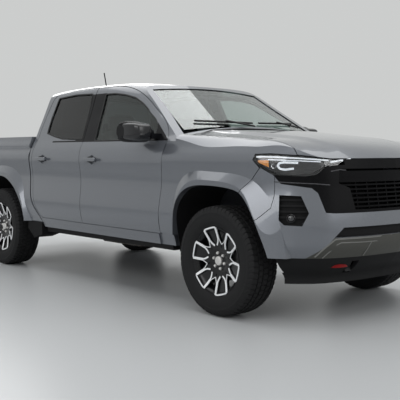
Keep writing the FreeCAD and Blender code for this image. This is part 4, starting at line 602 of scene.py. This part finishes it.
def spokeParts(values):
    along, half, pocket, deep = (np.array(values[key]) for key in ("along", "half", "pocket", "deep"))
    wall, edge = values["wall"], values["edge"]
    zero = np.zeros(len(along))
    widths = [half, half, half - edge, pocket + edge, pocket]
    levels = [zero - wall, zero - edge, zero, zero, -deep]
    side = np.stack([-width for width in widths] + widths[::-1], -1)
    rise = np.stack(levels + levels[::-1], -1)
    reach = np.broadcast_to(along[:, None], side.shape)
    points = closeEnds(np.stack([reach, rise + faceOut(along)[:, None], side], -1))
    dark = (points, gridQuads(*points.shape[:2], False, True))
    bracket, line = np.array(values["bracket"]), np.array(values["line"])
    whole = np.concatenate([bracket, bracket[-2::-1] * (1, -1)])
    bright = []
    for spots, width in ((whole, "bracketHalf"), (line, "lineHalf"), (line * (1, -1), "lineHalf")):
        path = np.stack([spots[:, 0], faceOut(np.hypot(spots[:, 0], spots[:, 1])), spots[:, 1]], -1)
        bright.append(sweep(path, barProfile(values[width], *values["edgeProfile"]), (0, 1, 0)))
    return dark, bright


# Turned parts of a rim, as closed profiles of (out, radius), and how many steps each is turned in
rimSet = {
    "rim": ((-0.11, 0.2395), (-0.11, 0.227), (-0.06, 0.205), (0.05, 0.205), (0.08, 0.214),
        (0.098, 0.2235), (0.104, 0.23), (0.11, 0.233), (0.1105, 0.237), (0.109, 0.2398), (0.1045, 0.24),
        (0.1, 0.229), (0.02, 0.214), (-0.05, 0.214), (-0.1, 0.229), (-0.1045, 0.24)),
    "hub": ((0.052, 0), (0.052, 0.098), (0.07, 0.104), (0.0765, 0.1), (0.0755, 0.08), (0.072, 0.074),
        (0.072, 0.052), (0.0745, 0.046), (0.0745, 0)),
    "cap": ((0.07, 0), (0.07, 0.0335), (0.0845, 0.033), (0.088, 0.03), (0.0895, 0.022),
        (0.0905, 0.01), (0.0907, 0)),
    "nut": ((0.066, 0), (0.066, 0.0125), (0.074, 0.012), (0.08, 0.0112), (0.0845, 0.0085), (0.086, 0.004),
        (0.0862, 0)),
    "steps": {"rim": 96, "hub": 48, "cap": 36, "nut": 12}, "nutCircle": 0.0565, "spokes": 6, "nuts": 6,
}


# A set round the wheel's axis, carried to the left wheel of an axle
def placeWheel(part, axle):
    points = spinPoints(np.reshape(part[0], (-1, 3)), math.radians(wheelSet["turn"]))
    return points + (axle, wheelSet["side"], wheelSet["radius"]), part[1]


def makeWheels(values):
    dark, bright = spokeParts(spokeSet)
    rim, hub, cap, (nut, nutQuads) = (turned(values[key], steps) for key, steps in values["steps"].items())
    nuts = aroundAxis((nut + (values["nutCircle"], 0, 0), nutQuads), values["nuts"])
    edges = [part for line in bright for part in aroundAxis(line, values["spokes"])]
    rows = (
        ("tyreTread", tyrePart(wheelSet), "rubber", "tyre", "tyre"),
        ("rimDark", joinSets([rim, hub] + aroundAxis(dark, values["spokes"])), "alloy", "alloy", "rim"),
        ("rimEdges", joinSets(edges), "machined", "alloy"),
        ("rimCap", joinSets([cap] + nuts), "capMetal", "alloy"),
    )
    for axleName, axle in wheelSet["axles"].items():
        placed = []
        for name, part, finishName, slotName, *replaced in rows:
            hidden = [f"{node}_{axleName}" for node in replaced]
            placed.append((f"{name}_{axleName}", placeWheel(part, axle), finishName, f"wheel_{axleName}",
                slotName, *hidden))
        makeSides(placed, "left")


makeWheels(rimSet)
print("wheels ready")

# The front's plan and the cab's side, as the solids have them, in tables of pairs. The skin's way along is
# taken over step to both sides, its way outwards over outStep and no nearer to the tip than lastShare
frontTables = {
    "root": 1.05, "step": 0.002, "outStep": 0.01, "lastShare": 0.997,
    "wide": ((0, 1), (0.58, 1), (0.64, 1), (0.69, 0.998), (0.73, 0.988), (0.775, 0.958), (0.82, 0.915),
        (0.888, 0.812), (0.934, 0.706), (0.967, 0.543), (0.989, 0.326), (1, 0)),
    "tip": ((0.24, 2.5), (0.3, 2.545), (0.38, 2.6), (0.46, 2.665), (0.56, 2.7075), (0.66, 2.705),
        (0.76, 2.698), (0.86, 2.684), (0.96, 2.668), (1.05, 2.655), (1.14, 2.637), (1.24, 2.612),
        (1.38, 2.57)),
    "side": ((0.25, 0.866), (0.38, 0.88), (0.47, 0.89), (0.56, 0.915), (0.7, 0.932), (0.8, 0.922),
        (0.92, 0.909), (1.02, 0.914), (1.1, 0.921), (1.16, 0.912), (1.21, 0.895), (1.262, 0.868),
        (1.3, 0.849), (1.4, 0.808), (1.5, 0.765), (1.6, 0.724), (1.7, 0.684), (1.742, 0.661),
        (1.769, 0.625), (1.785, 0.565)),
    "roof": ((-1.05, 1.768), (-0.9, 1.784), (-0.62, 1.798), (-0.3, 1.803), (0, 1.801), (0.2, 1.794),
        (0.4, 1.78), (0.6, 1.757), (0.75, 1.735), (1.00, 1.69)),
    "belt": 1.262, "height": 1.803,
}


# A table of (place, level) read as a cubic between two rows, from their levels a and b and slopes s and e:
# (2 w^3 - 3 w^2 + 1) a + (w^3 - 2 w^2 + w) width s + (3 w^2 - 2 w^3) b + (w^3 - w^2) width e
def smoothRead(table, at):
    places, levels = np.array(table, float).T
    slopes = np.gradient(levels, places)
    first = np.clip(np.searchsorted(places, at) - 1, 0, len(places) - 2)
    last = first + 1
    width = places[last] - places[first]
    way = np.clip((at - places[first]) / width, 0, 1)
    start = (2 * way ** 3 - 3 * way ** 2 + 1) * levels[first]
    start = start + (way ** 3 - 2 * way ** 2 + way) * width * slopes[first]
    return start + (3 * way ** 2 - 2 * way ** 3) * levels[last] + (way ** 3 - way ** 2) * width * slopes[last]


# Point on the nose: x = root + (tip - root) * share, y = -side width * wide(share), moved in by a depth
def nosePoint(share, z, depth):
    share, z = np.broadcast_arrays(np.asarray(share, float), np.asarray(z, float))
    root, step = frontTables["root"], frontTables["step"]

    def flat(at):
        x = root + (smoothRead(frontTables["tip"], z) - root) * at
        return x, -smoothRead(frontTables["side"], z) * smoothRead(frontTables["wide"], at)

    x, y = flat(share)
    xAfter, yAfter = flat(np.minimum(share + step, 1))
    xBefore, yBefore = flat(share - step)
    wayX, wayY = xAfter - xBefore, yAfter - yBefore
    length = np.hypot(wayX, wayY)
    return np.stack([x - wayY / length * depth, y + wayX / length * depth, z], -1)


# Bar along a line of (share, z) on the nose, at a depth, with its profile standing outwards
def noseBar(line, count, depth, profile):
    share, z = alongLine(line, count).T
    near = np.minimum(share, frontTables["lastShare"])
    outward = unit(nosePoint(near, z, depth - frontTables["outStep"]) - nosePoint(near, z, depth))
    return sweep(nosePoint(share, z, depth), profile, outward)


# Point on the cab's side: above the belt the section is stretched to the roof's height at that place
def cabSidePoint(x, z):
    top = smoothRead(frontTables["roof"], x)
    belt = frontTables["belt"]
    level = np.where(z > belt, belt + (z - belt) * (frontTables["height"] - belt) / (top - belt), z)
    return np.stack([x, -smoothRead(frontTables["side"], level), z], -1)


# Headlamps: light guides, a round projector, an amber reflector at the outer end and a bright inner tip.
# Lines are (share, z) on the nose. A guide is (half width, depth, line)
lampSet = {
    "guides": (
        (0.005, 0.014, ((0.705, 1.139), (0.74, 1.141), (0.8, 1.138), (0.87, 1.131), (0.918, 1.124),
            (0.945, 1.117))),
        (0.0034, 0.015, ((0.76, 1.1215), (0.82, 1.119), (0.88, 1.1135), (0.93, 1.1075))),
        (0.0072, 0.017, ((0.868, 1.101), (0.822, 1.104), (0.803, 1.099), (0.797, 1.08), (0.803, 1.062),
            (0.822, 1.056), (0.852, 1.064))),
        (0.0065, 0.0125, ((0.948, 1.106), (0.97, 1.119), (0.9775, 1.126))),
    ),
    "guideSteps": 28, "guideProfile": (-0.004, 0.003, 0.0015),
    "amber": (0.712, 0.762, 1.07, 1.118), "amberSteps": 9, "amberNarrow": 0.25, "amberDeep": 0.014,
    "amberBack": (-0.003, 0.003, 0),
    "fins": (0.838, 0.908, 6), "finLean": 0.03, "finHigh": 1.092, "finLow": 1.056, "finSteps": 6,
    "finDeep": 0.02, "finProfile": (0.0022, -0.004, 0.003, 0.001),
    "backShares": (0.7, 0.966, 36), "backRows": 10, "backDeep": 0.026, "backMove": (-0.002, 0.002, 0),
    "backTop": ((0.7, 0.73, 0.86, 0.93, 0.966), (1.15, 1.153, 1.145, 1.13, 1.118)),
    "backLow": ((0.7, 0.73, 0.79, 0.86, 0.905, 0.945, 0.966),
        (1.135, 1.085, 1.028, 1.022, 1.034, 1.088, 1.1)),
    "projector": (0.781, 1.08), "projectorDeep": 0.024, "projectorSteps": 28,
    "ring": ((-0.004, 0), (-0.004, 0.0175), (0.008, 0.0185), (0.011, 0.017), (0.009, 0.015),
        (0.004, 0.0145), (0.004, 0)),
    "eye": ((0.002, 0), (0.002, 0.014), (0.006, 0.013), (0.0095, 0.0085), (0.011, 0)),
}


# The amber reflector is a plate whose height grows from its outer end to its inner end
def amberPart(values):
    low, high, zLow, zHigh = values["amber"]
    spread = np.linspace(0, 1, values["amberSteps"])
    across, up = np.meshgrid(spread, spread, indexing="ij")
    narrow = values["amberNarrow"]
    level = zHigh - (zHigh - zLow) * up * (narrow + (1 - narrow) * across)
    return plate(nosePoint(low + (high - low) * across, level, values["amberDeep"]), values["amberBack"])


# The black plate behind the lamp, between a top line and a low line
def lampBack(values):
    shares, heights = np.linspace(*values["backShares"]), np.linspace(0, 1, values["backRows"])
    share, up = np.meshgrid(shares, heights, indexing="ij")
    top, low = (np.interp(share, *values[key]) for key in ("backTop", "backLow"))
    return plate(nosePoint(share, low + (top - low) * up, values["backDeep"]), values["backMove"])


def makeLamps(values):
    guides = [noseBar(line, values["guideSteps"], depth, barProfile(half, *values["guideProfile"]))
        for half, depth, line in values["guides"]]
    fins = []
    for share in np.linspace(*values["fins"]):
        line = ((share, values["finHigh"]), (share - values["finLean"], values["finLow"]))
        fins.append(noseBar(line, values["finSteps"], values["finDeep"], barProfile(*values["finProfile"])))
    place = nosePoint(*values["projector"], values["projectorDeep"])
    ahead = nosePoint(*values["projector"], 0) - place
    ring, eye = (turned(values[key], values["projectorSteps"], place, ahead) for key in ("ring", "eye"))
    makeSides((
        ("lampGuides", joinSets(guides), "lightGuide", "truck", "lens"),
        ("lampReflector", amberPart(values), "amber", "truck", "lens"),
        ("lampFins", joinSets(fins + [lampBack(values)]), "lampBlack", "truck", "gloss_black"),
        ("lampRing", ring, "chrome", "truck", "lens"),
        ("lampEye", eye, "lampBlack", "truck", "gloss_black"),
    ))


makeLamps(lampSet)
print("headlamps ready")

# Black rubber round the side windows, drawn along each window's outline of (x, z) on the cab's side
windowSet = {
    "front": ((0.985, 1.272), (0.978, 1.34), (0.95, 1.405), (0.838, 1.478), (0.65, 1.58), (0.52, 1.634),
        (0.36, 1.668), (0.2, 1.688), (0.055, 1.69), (0.126, 1.272)),
    "rear": ((-0.761, 1.353), (-0.785, 1.505), (-0.77, 1.695), (-0.469, 1.712), (-0.175, 1.705),
        (-0.122, 1.5), (-0.088, 1.29), (-0.429, 1.293), (-0.606, 1.32)),
    "count": 160, "step": 0.004, "profile": (0.0065, -0.0015, 0.0022, 0.0012),
}


def makeRubbers(values):
    step = values["step"]
    for name in ("front", "rear"):
        x, z = alongLine(values[name] + values[name][:1], values["count"])[:-1].T
        path = cabSidePoint(x, z)
        outward = unit(np.cross(cabSidePoint(x + step, z) - path, cabSidePoint(x, z + step) - path))
        outward = outward * np.where(outward[:, 1:2] > 0, -1, 1)
        part = sweep(path, barProfile(*values["profile"]), outward, True)
        makeSides([(f"{name}WindowRubber", part, "blackTrim", f"{name}_door", "black_plastic")])


makeRubbers(windowSet)
print("window rubber ready")

# Wipers: a blade and an arm each, lying on the windshield. Their lines are (y, z)
wiperSet = {
    "base": 1.33, "lean": 1.68, "foot": 1.33, "bow": 0.1, "side": 0.72,
    "blades": (((-0.56, 1.418), (0.02, 1.41)), ((0.1, 1.412), (0.6, 1.42))),
    "pivots": ((-0.02, 1.372), (0.62, 1.372)),
    "bladeSteps": 14, "bladeOut": 0.008, "bladeProfile": (0.007, -0.006, 0.006, 0.003),
    "armSteps": 12, "armOut": 0.02, "armProfile": (0.009, -0.005, 0.005, 0.003),
}


# Windshield x = base - lean * (z - foot) - bow * (y / side) ** 2, then moved out along its normal
def makeWipers(values):
    normal = unit(np.array((1, 0, values["lean"])))
    parts = []
    for (start, end), pivot in zip(values["blades"], values["pivots"]):
        middle = (np.array(start) + np.array(end)) / 2
        for kind, line in (("blade", (start, end)), ("arm", (pivot, middle))):
            y, z = alongLine(line, values[f"{kind}Steps"]).T
            bow = values["bow"] * (y / values["side"]) ** 2
            x = values["base"] - values["lean"] * (z - values["foot"]) - bow
            path = np.stack([x, y, z], -1) + normal * values[f"{kind}Out"]
            parts.append(sweep(path, barProfile(*values[f"{kind}Profile"]), normal))
    makePiece("wipers", *joinSets(parts), "blackTrim", "truck", "black_plastic")


makeWipers(wiperSet)
print("wipers ready")

# Seats: cushions, backs and head rests as crowned pads of (middle, half size, lean in degrees).
# A place is (name, kind of seat, y, replaced nodes)
seatSet = {
    "front": {
        "cushion": ((0.235, 0, 0.715), (0.265, 0.255, 0.105), 4),
        "back": ((-0.045, 0, 1.075), (0.075, 0.25, 0.31), 14),
        "head": ((-0.135, 0, 1.425), (0.055, 0.135, 0.085), 10),
    },
    "rear": {
        "cushion": ((-0.61, 0, 0.7), (0.245, 0.6, 0.11), 3),
        "back": ((-0.8, 0, 1.07), (0.06, 0.6, 0.29), 7),
        "head": ((-0.835, 0, 1.395), (0.045, 0.13, 0.075), 5),
    },
    "places": (("driver", "front", 0.388, ("front_seats",)), ("passenger", "front", -0.388, ()),
        ("bench", "rear", 0.0, ("rear_seat",))),
    "power": 0.42, "columns": 64, "rows": 33, "crown": 0.1, "crownFrom": 0.5,
    "seamDeep": 0.035, "seamPlace": 0.62, "seamHalf": 0.035,
}


# A pad is a rounded box, thinner towards its sides and along a seam on each side, then leaned back:
# crown = 1 - crown * side ** 2, seam = 1 - deep * exp(-((|side| - place) / half) ** 2)
def padPart(middle, half, lean, seams, values):
    columns, rows = values["columns"], values["rows"]
    across, side, high = np.moveaxis(softCube(values["power"], columns, rows), -1, 0)
    crown = 1 - values["crown"] * side ** 2 * (np.abs(across) > values["crownFrom"])
    away = (np.abs(side) - values["seamPlace"]) / values["seamHalf"]
    seam = 1 - values["seamDeep"] * seams * np.exp(-away ** 2)
    points = np.stack([across * crown * seam, side, high * seam], -1) * half
    return spinPoints(points, math.radians(lean)) + middle, gridQuads(columns, rows, True, False)


def makeSeats(values):
    for seatName, kind, y, replaced in values["places"]:
        for partName, (middle, half, lean) in values[kind].items():
            seams = 0 if partName == "head" else 1
            points, quads = padPart((middle[0], y, middle[2]), half, lean, seams, values)
            made = makePiece(f"{seatName}_{partName}", points, quads, "seatCloth", "truck", "seat_cloth",
                replaced if partName == "cushion" else ())


makeSeats(seatSet)
print("seats ready")

# Tow hooks: two red bars that come out of the lower bumper and go back in
hookSet = {
    "from": 0.976, "to": 0.947, "z": 0.412, "deep": 0.045, "out": 0.01, "round": 0.4, "steps": 25,
    "profile": (0.0075, -0.012, 0.012, 0.006),
}


# Depth under the bumper's skin = deep - (deep + out) * sin(turn) ** round
def makeHooks(values):
    share = np.linspace(values["from"], values["to"], values["steps"])
    turn = np.linspace(0, np.pi, values["steps"])
    depth = values["deep"] - (values["deep"] + values["out"]) * np.sin(turn) ** values["round"]
    skin = nosePoint(share, values["z"], 0)
    path = skin - (skin - nosePoint(share, values["z"], 1)) * depth[:, None]
    bars = bothSides(sweep(path, barProfile(*values["profile"]), (0, 0, 1)))
    makePiece("towHookBars", *joinSets(bars), "redMetal", "truck", "red_metal", ("tow_hooks",))


makeHooks(hookSet)

# Fog lamps: a black ring and a domed lens low in each pocket, as profiles of (along, radius)
fogSet = {
    "share": 0.832, "z": 0.737, "deep": 0.02, "steps": 30,
    "ring": ((-0.01, 0), (-0.01, 0.026), (0.004, 0.03), (0.01, 0.029), (0.012, 0.026), (0.006, 0.02132),
        (0, 0.02028), (0, 0)),
    "eye": ((-0.002, 0), (-0.002, 0.0208), (0.006, 0.02028), (0.01, 0.0143), (0.0115, 0)),
}


def makeFogLamps(values):
    place = nosePoint(values["share"], values["z"], values["deep"])
    ahead = nosePoint(values["share"], values["z"], 0) - place
    ring, eye = (turned(values[key], values["steps"], place, ahead) for key in ("ring", "eye"))
    makeSides((("fogRing", ring, "lampBlack", "truck", "gloss_black"),
        ("fogEye", eye, "fogGlass", "truck", "lens")))


makeFogLamps(fogSet)
print("hooks and fog lamps ready")

# Bed liner: ribs along the floor between the wheel boxes
ribSet = {
    "count": 11, "from": -2.52, "to": -1.22, "side": 0.5, "floor": 0.806, "steps": 6,
    "profile": (0.016, -0.001, 0.008, 0.004),
}


def makeRibs(values):
    ribs = []
    for y in np.linspace(-values["side"], values["side"], values["count"]):
        path = alongLine([(values[end], y, values["floor"]) for end in ("from", "to")], values["steps"])
        ribs.append(sweep(path, barProfile(*values["profile"]), (0, 0, 1)))
    makePiece("bedRibs", *joinSets(ribs), "blackPlastic", "truck", "black_plastic")


makeRibs(ribSet)
print("bed ribs ready")

# Tailgate handle and the rear bumper's step pads, as rounded boxes of (middle, half size, power)
backSet = {
    "handle": (((-2.6665, 0, 1.217), (0.006, 0.135, 0.01), 0.25),
        ((-2.6645, 0, 1.193), (0.004, 0.135, 0.014), 0.25)),
    "pads": (((-2.665, 0.6, 0.7035), (0.032, 0.18, 0.006), 0.3),
        ((-2.665, -0.6, 0.7035), (0.032, 0.18, 0.006), 0.3)),
}


def makeBack(values):
    handle, pads = (joinSets([softBox(*box) for box in values[key]]) for key in ("handle", "pads"))
    makePiece("tailgateHandle", *handle, "blackPlastic", "tailgate", "black_plastic")
    makePiece("stepPads", *pads, "blackTrim", "truck", "black_plastic")


makeBack(backSet)
print("rear details ready")

# Painted shade in the door handles' recesses: a flat black oval behind each grip, on the door's skin, stands
# in for the shade in the dish
dishShadeSet = {
    "places": (("front_door", 0.165), ("rear_door", -0.7)), "z": 1.107, "side": 0.9395,
    "half": (0.052, 0.003, 0.026), "power": 0.8,
}


def makeDishShades(values):
    for doorName, x in values["places"]:
        for side, y in (("right", -values["side"]), ("left", values["side"])):
            dishShade = softBox((x, y, values["z"]), values["half"], values["power"])
            makePiece(f"handleDishShade_{doorName}_{side}", *dishShade, "blackTrim", f"{doorName}_{side}",
                "black_plastic")


makeDishShades(dishShadeSet)

# Gauge hood, middle screen and the steering wheel's pad, as rounded boxes of (middle, half size, power),
# each with its finish, body and slot
insideSet = {
    "gaugeHood": (((0.78, 0.38, 1.235), (0.075, 0.165, 0.04), 0.5), "blackPlastic", "truck",
        "black_plastic"),
    "middleScreen": (((0.735, 0.0, 1.205), (0.01, 0.135, 0.075), 0.2), "lampBlack", "truck", "gloss_black"),
    "wheelPad": (((0.612, 0.38, 1.128), (0.018, 0.062, 0.052), 0.6), "wheelLeather", "steering_wheel",
        "wheel_leather"),
}


def makeInside(values):
    for name, (box, finishName, body, slotName) in values.items():
        makePiece(name, *softBox(*box), finishName, body, slotName)


makeInside(insideSet)
print("inside details ready")

# Mirror heads: a rounded box drawn in towards the front and the outer lower corner, with a glass plate behind
mirrorSet = {
    "middle": (0.925, 0.9935, 1.3285), "half": (0.122, 0.0885, 0.0715), "cube": (0.3, 56, 29),
    "front": 0.22, "corner": 0.26, "glass": ((0.8035, 0.9935, 1.33), (0.0045, 0.08, 0.06), 0.25, 40, 21),
}


# Width = 1 - front * ahead ** 2, height = 1 - corner * outer ** 2 below the middle - front * ahead ** 2
def makeMirrors(values):
    points, quads = softBox((0, 0, 0), (1, 1, 1), *values["cube"])
    ahead = values["front"] * np.clip(points[:, 0], 0, 1) ** 2
    corner = values["corner"] * np.clip(points[:, 1], 0, 1) ** 2 * (points[:, 2] < 0)
    shape = points * np.stack([np.ones(len(points)), 1 - ahead, 1 - corner - ahead], -1)
    head = (shape * values["half"] + values["middle"], quads)
    makeSides((("mirrorHead", head, "mirrorBlack", "front_door", "gloss_black"),
        ("mirrorGlass", softBox(*values["glass"]), "chrome", "front_door", "gloss_black")), "left")


makeMirrors(mirrorSet)
print("mirrors ready")

# Tail lamps: a white reversing lamp and two dark bars in each red lens, and plugs behind the lower bumper's
# openings, as rounded boxes of (middle, half size, finish, slot)
tailSet = {
    "reverseLamp": ((-2.6785, 0.868, 0.972), (0.003, 0.044, 0.022), "reverseGlass", "lens"),
    "lampBars": ((-2.6785, 0.868, 1.012), (0.003, 0.05, 0.0035), "lampBlack", "gloss_black"),
    "lampBarsUpper": ((-2.6785, 0.868, 1.15), (0.003, 0.05, 0.0035), "lampBlack", "gloss_black"),
    "openingPlug": ((2.548, 0.4, 0.42), (0.006, 0.036, 0.06), "blackTrim", "black_plastic"),
}
tailCube = {"power": 0.25, "columns": 24, "rows": 13}


def makeTail(values):
    for name, (middle, half, finishName, slotName) in values.items():
        makeSides([(name, softBox(middle, half, **tailCube), finishName, "truck", slotName)], "left")


makeTail(tailSet)
print("tail lamps ready")

# Painted highlights on the face: light strips along the black frame's bevels and the skid plate's folds stand
# in for the light these edges catch.
# Each is (line of (share, z) on the nose, half width, finish, slot)
highlightLineSet = {
    "lipHighlight": (((0.776, 0.976), (0.8638, 0.968), (0.9142, 0.963), (0.94, 0.956)), 0.0032, "blackEdgeHighlight",
        "gloss_black"),
    "frameHighlight": (((0.9449, 1.045), (0.9599, 1.056), (0.9672, 1.052)), 0.0034, "blackEdgeHighlight", "gloss_black"),
    "skidEdgeHighlight": (((0.901, 0.48), (0.944, 0.599), (0.96, 0.602), (0.996, 0.602)), 0.005,
        "skidHighlight", "satin_metal"),
    "skidFoldHighlight": (((0.9222, 0.472), (0.9465, 0.564), (0.954, 0.576), (0.9879, 0.572), (0.996, 0.572)),
        0.0034, "skidHighlight", "satin_metal"),
    "skidRiseHighlight": (((0.9879, 0.572), (0.9846, 0.4756)), 0.003, "skidHighlight", "satin_metal"),
}
highlightLineBar = {"steps": 40, "profile": (-0.004, 0.0012, 0.001)}


def makeHighlightLines(values):
    for name, (line, half, finishName, slotName) in values.items():
        bar = noseBar(line, highlightLineBar["steps"], 0, barProfile(half, *highlightLineBar["profile"]))
        makePiece(name, *joinSets(bothSides(bar)), finishName, "truck", slotName)


makeHighlightLines(highlightLineSet)
print("edge lines ready")
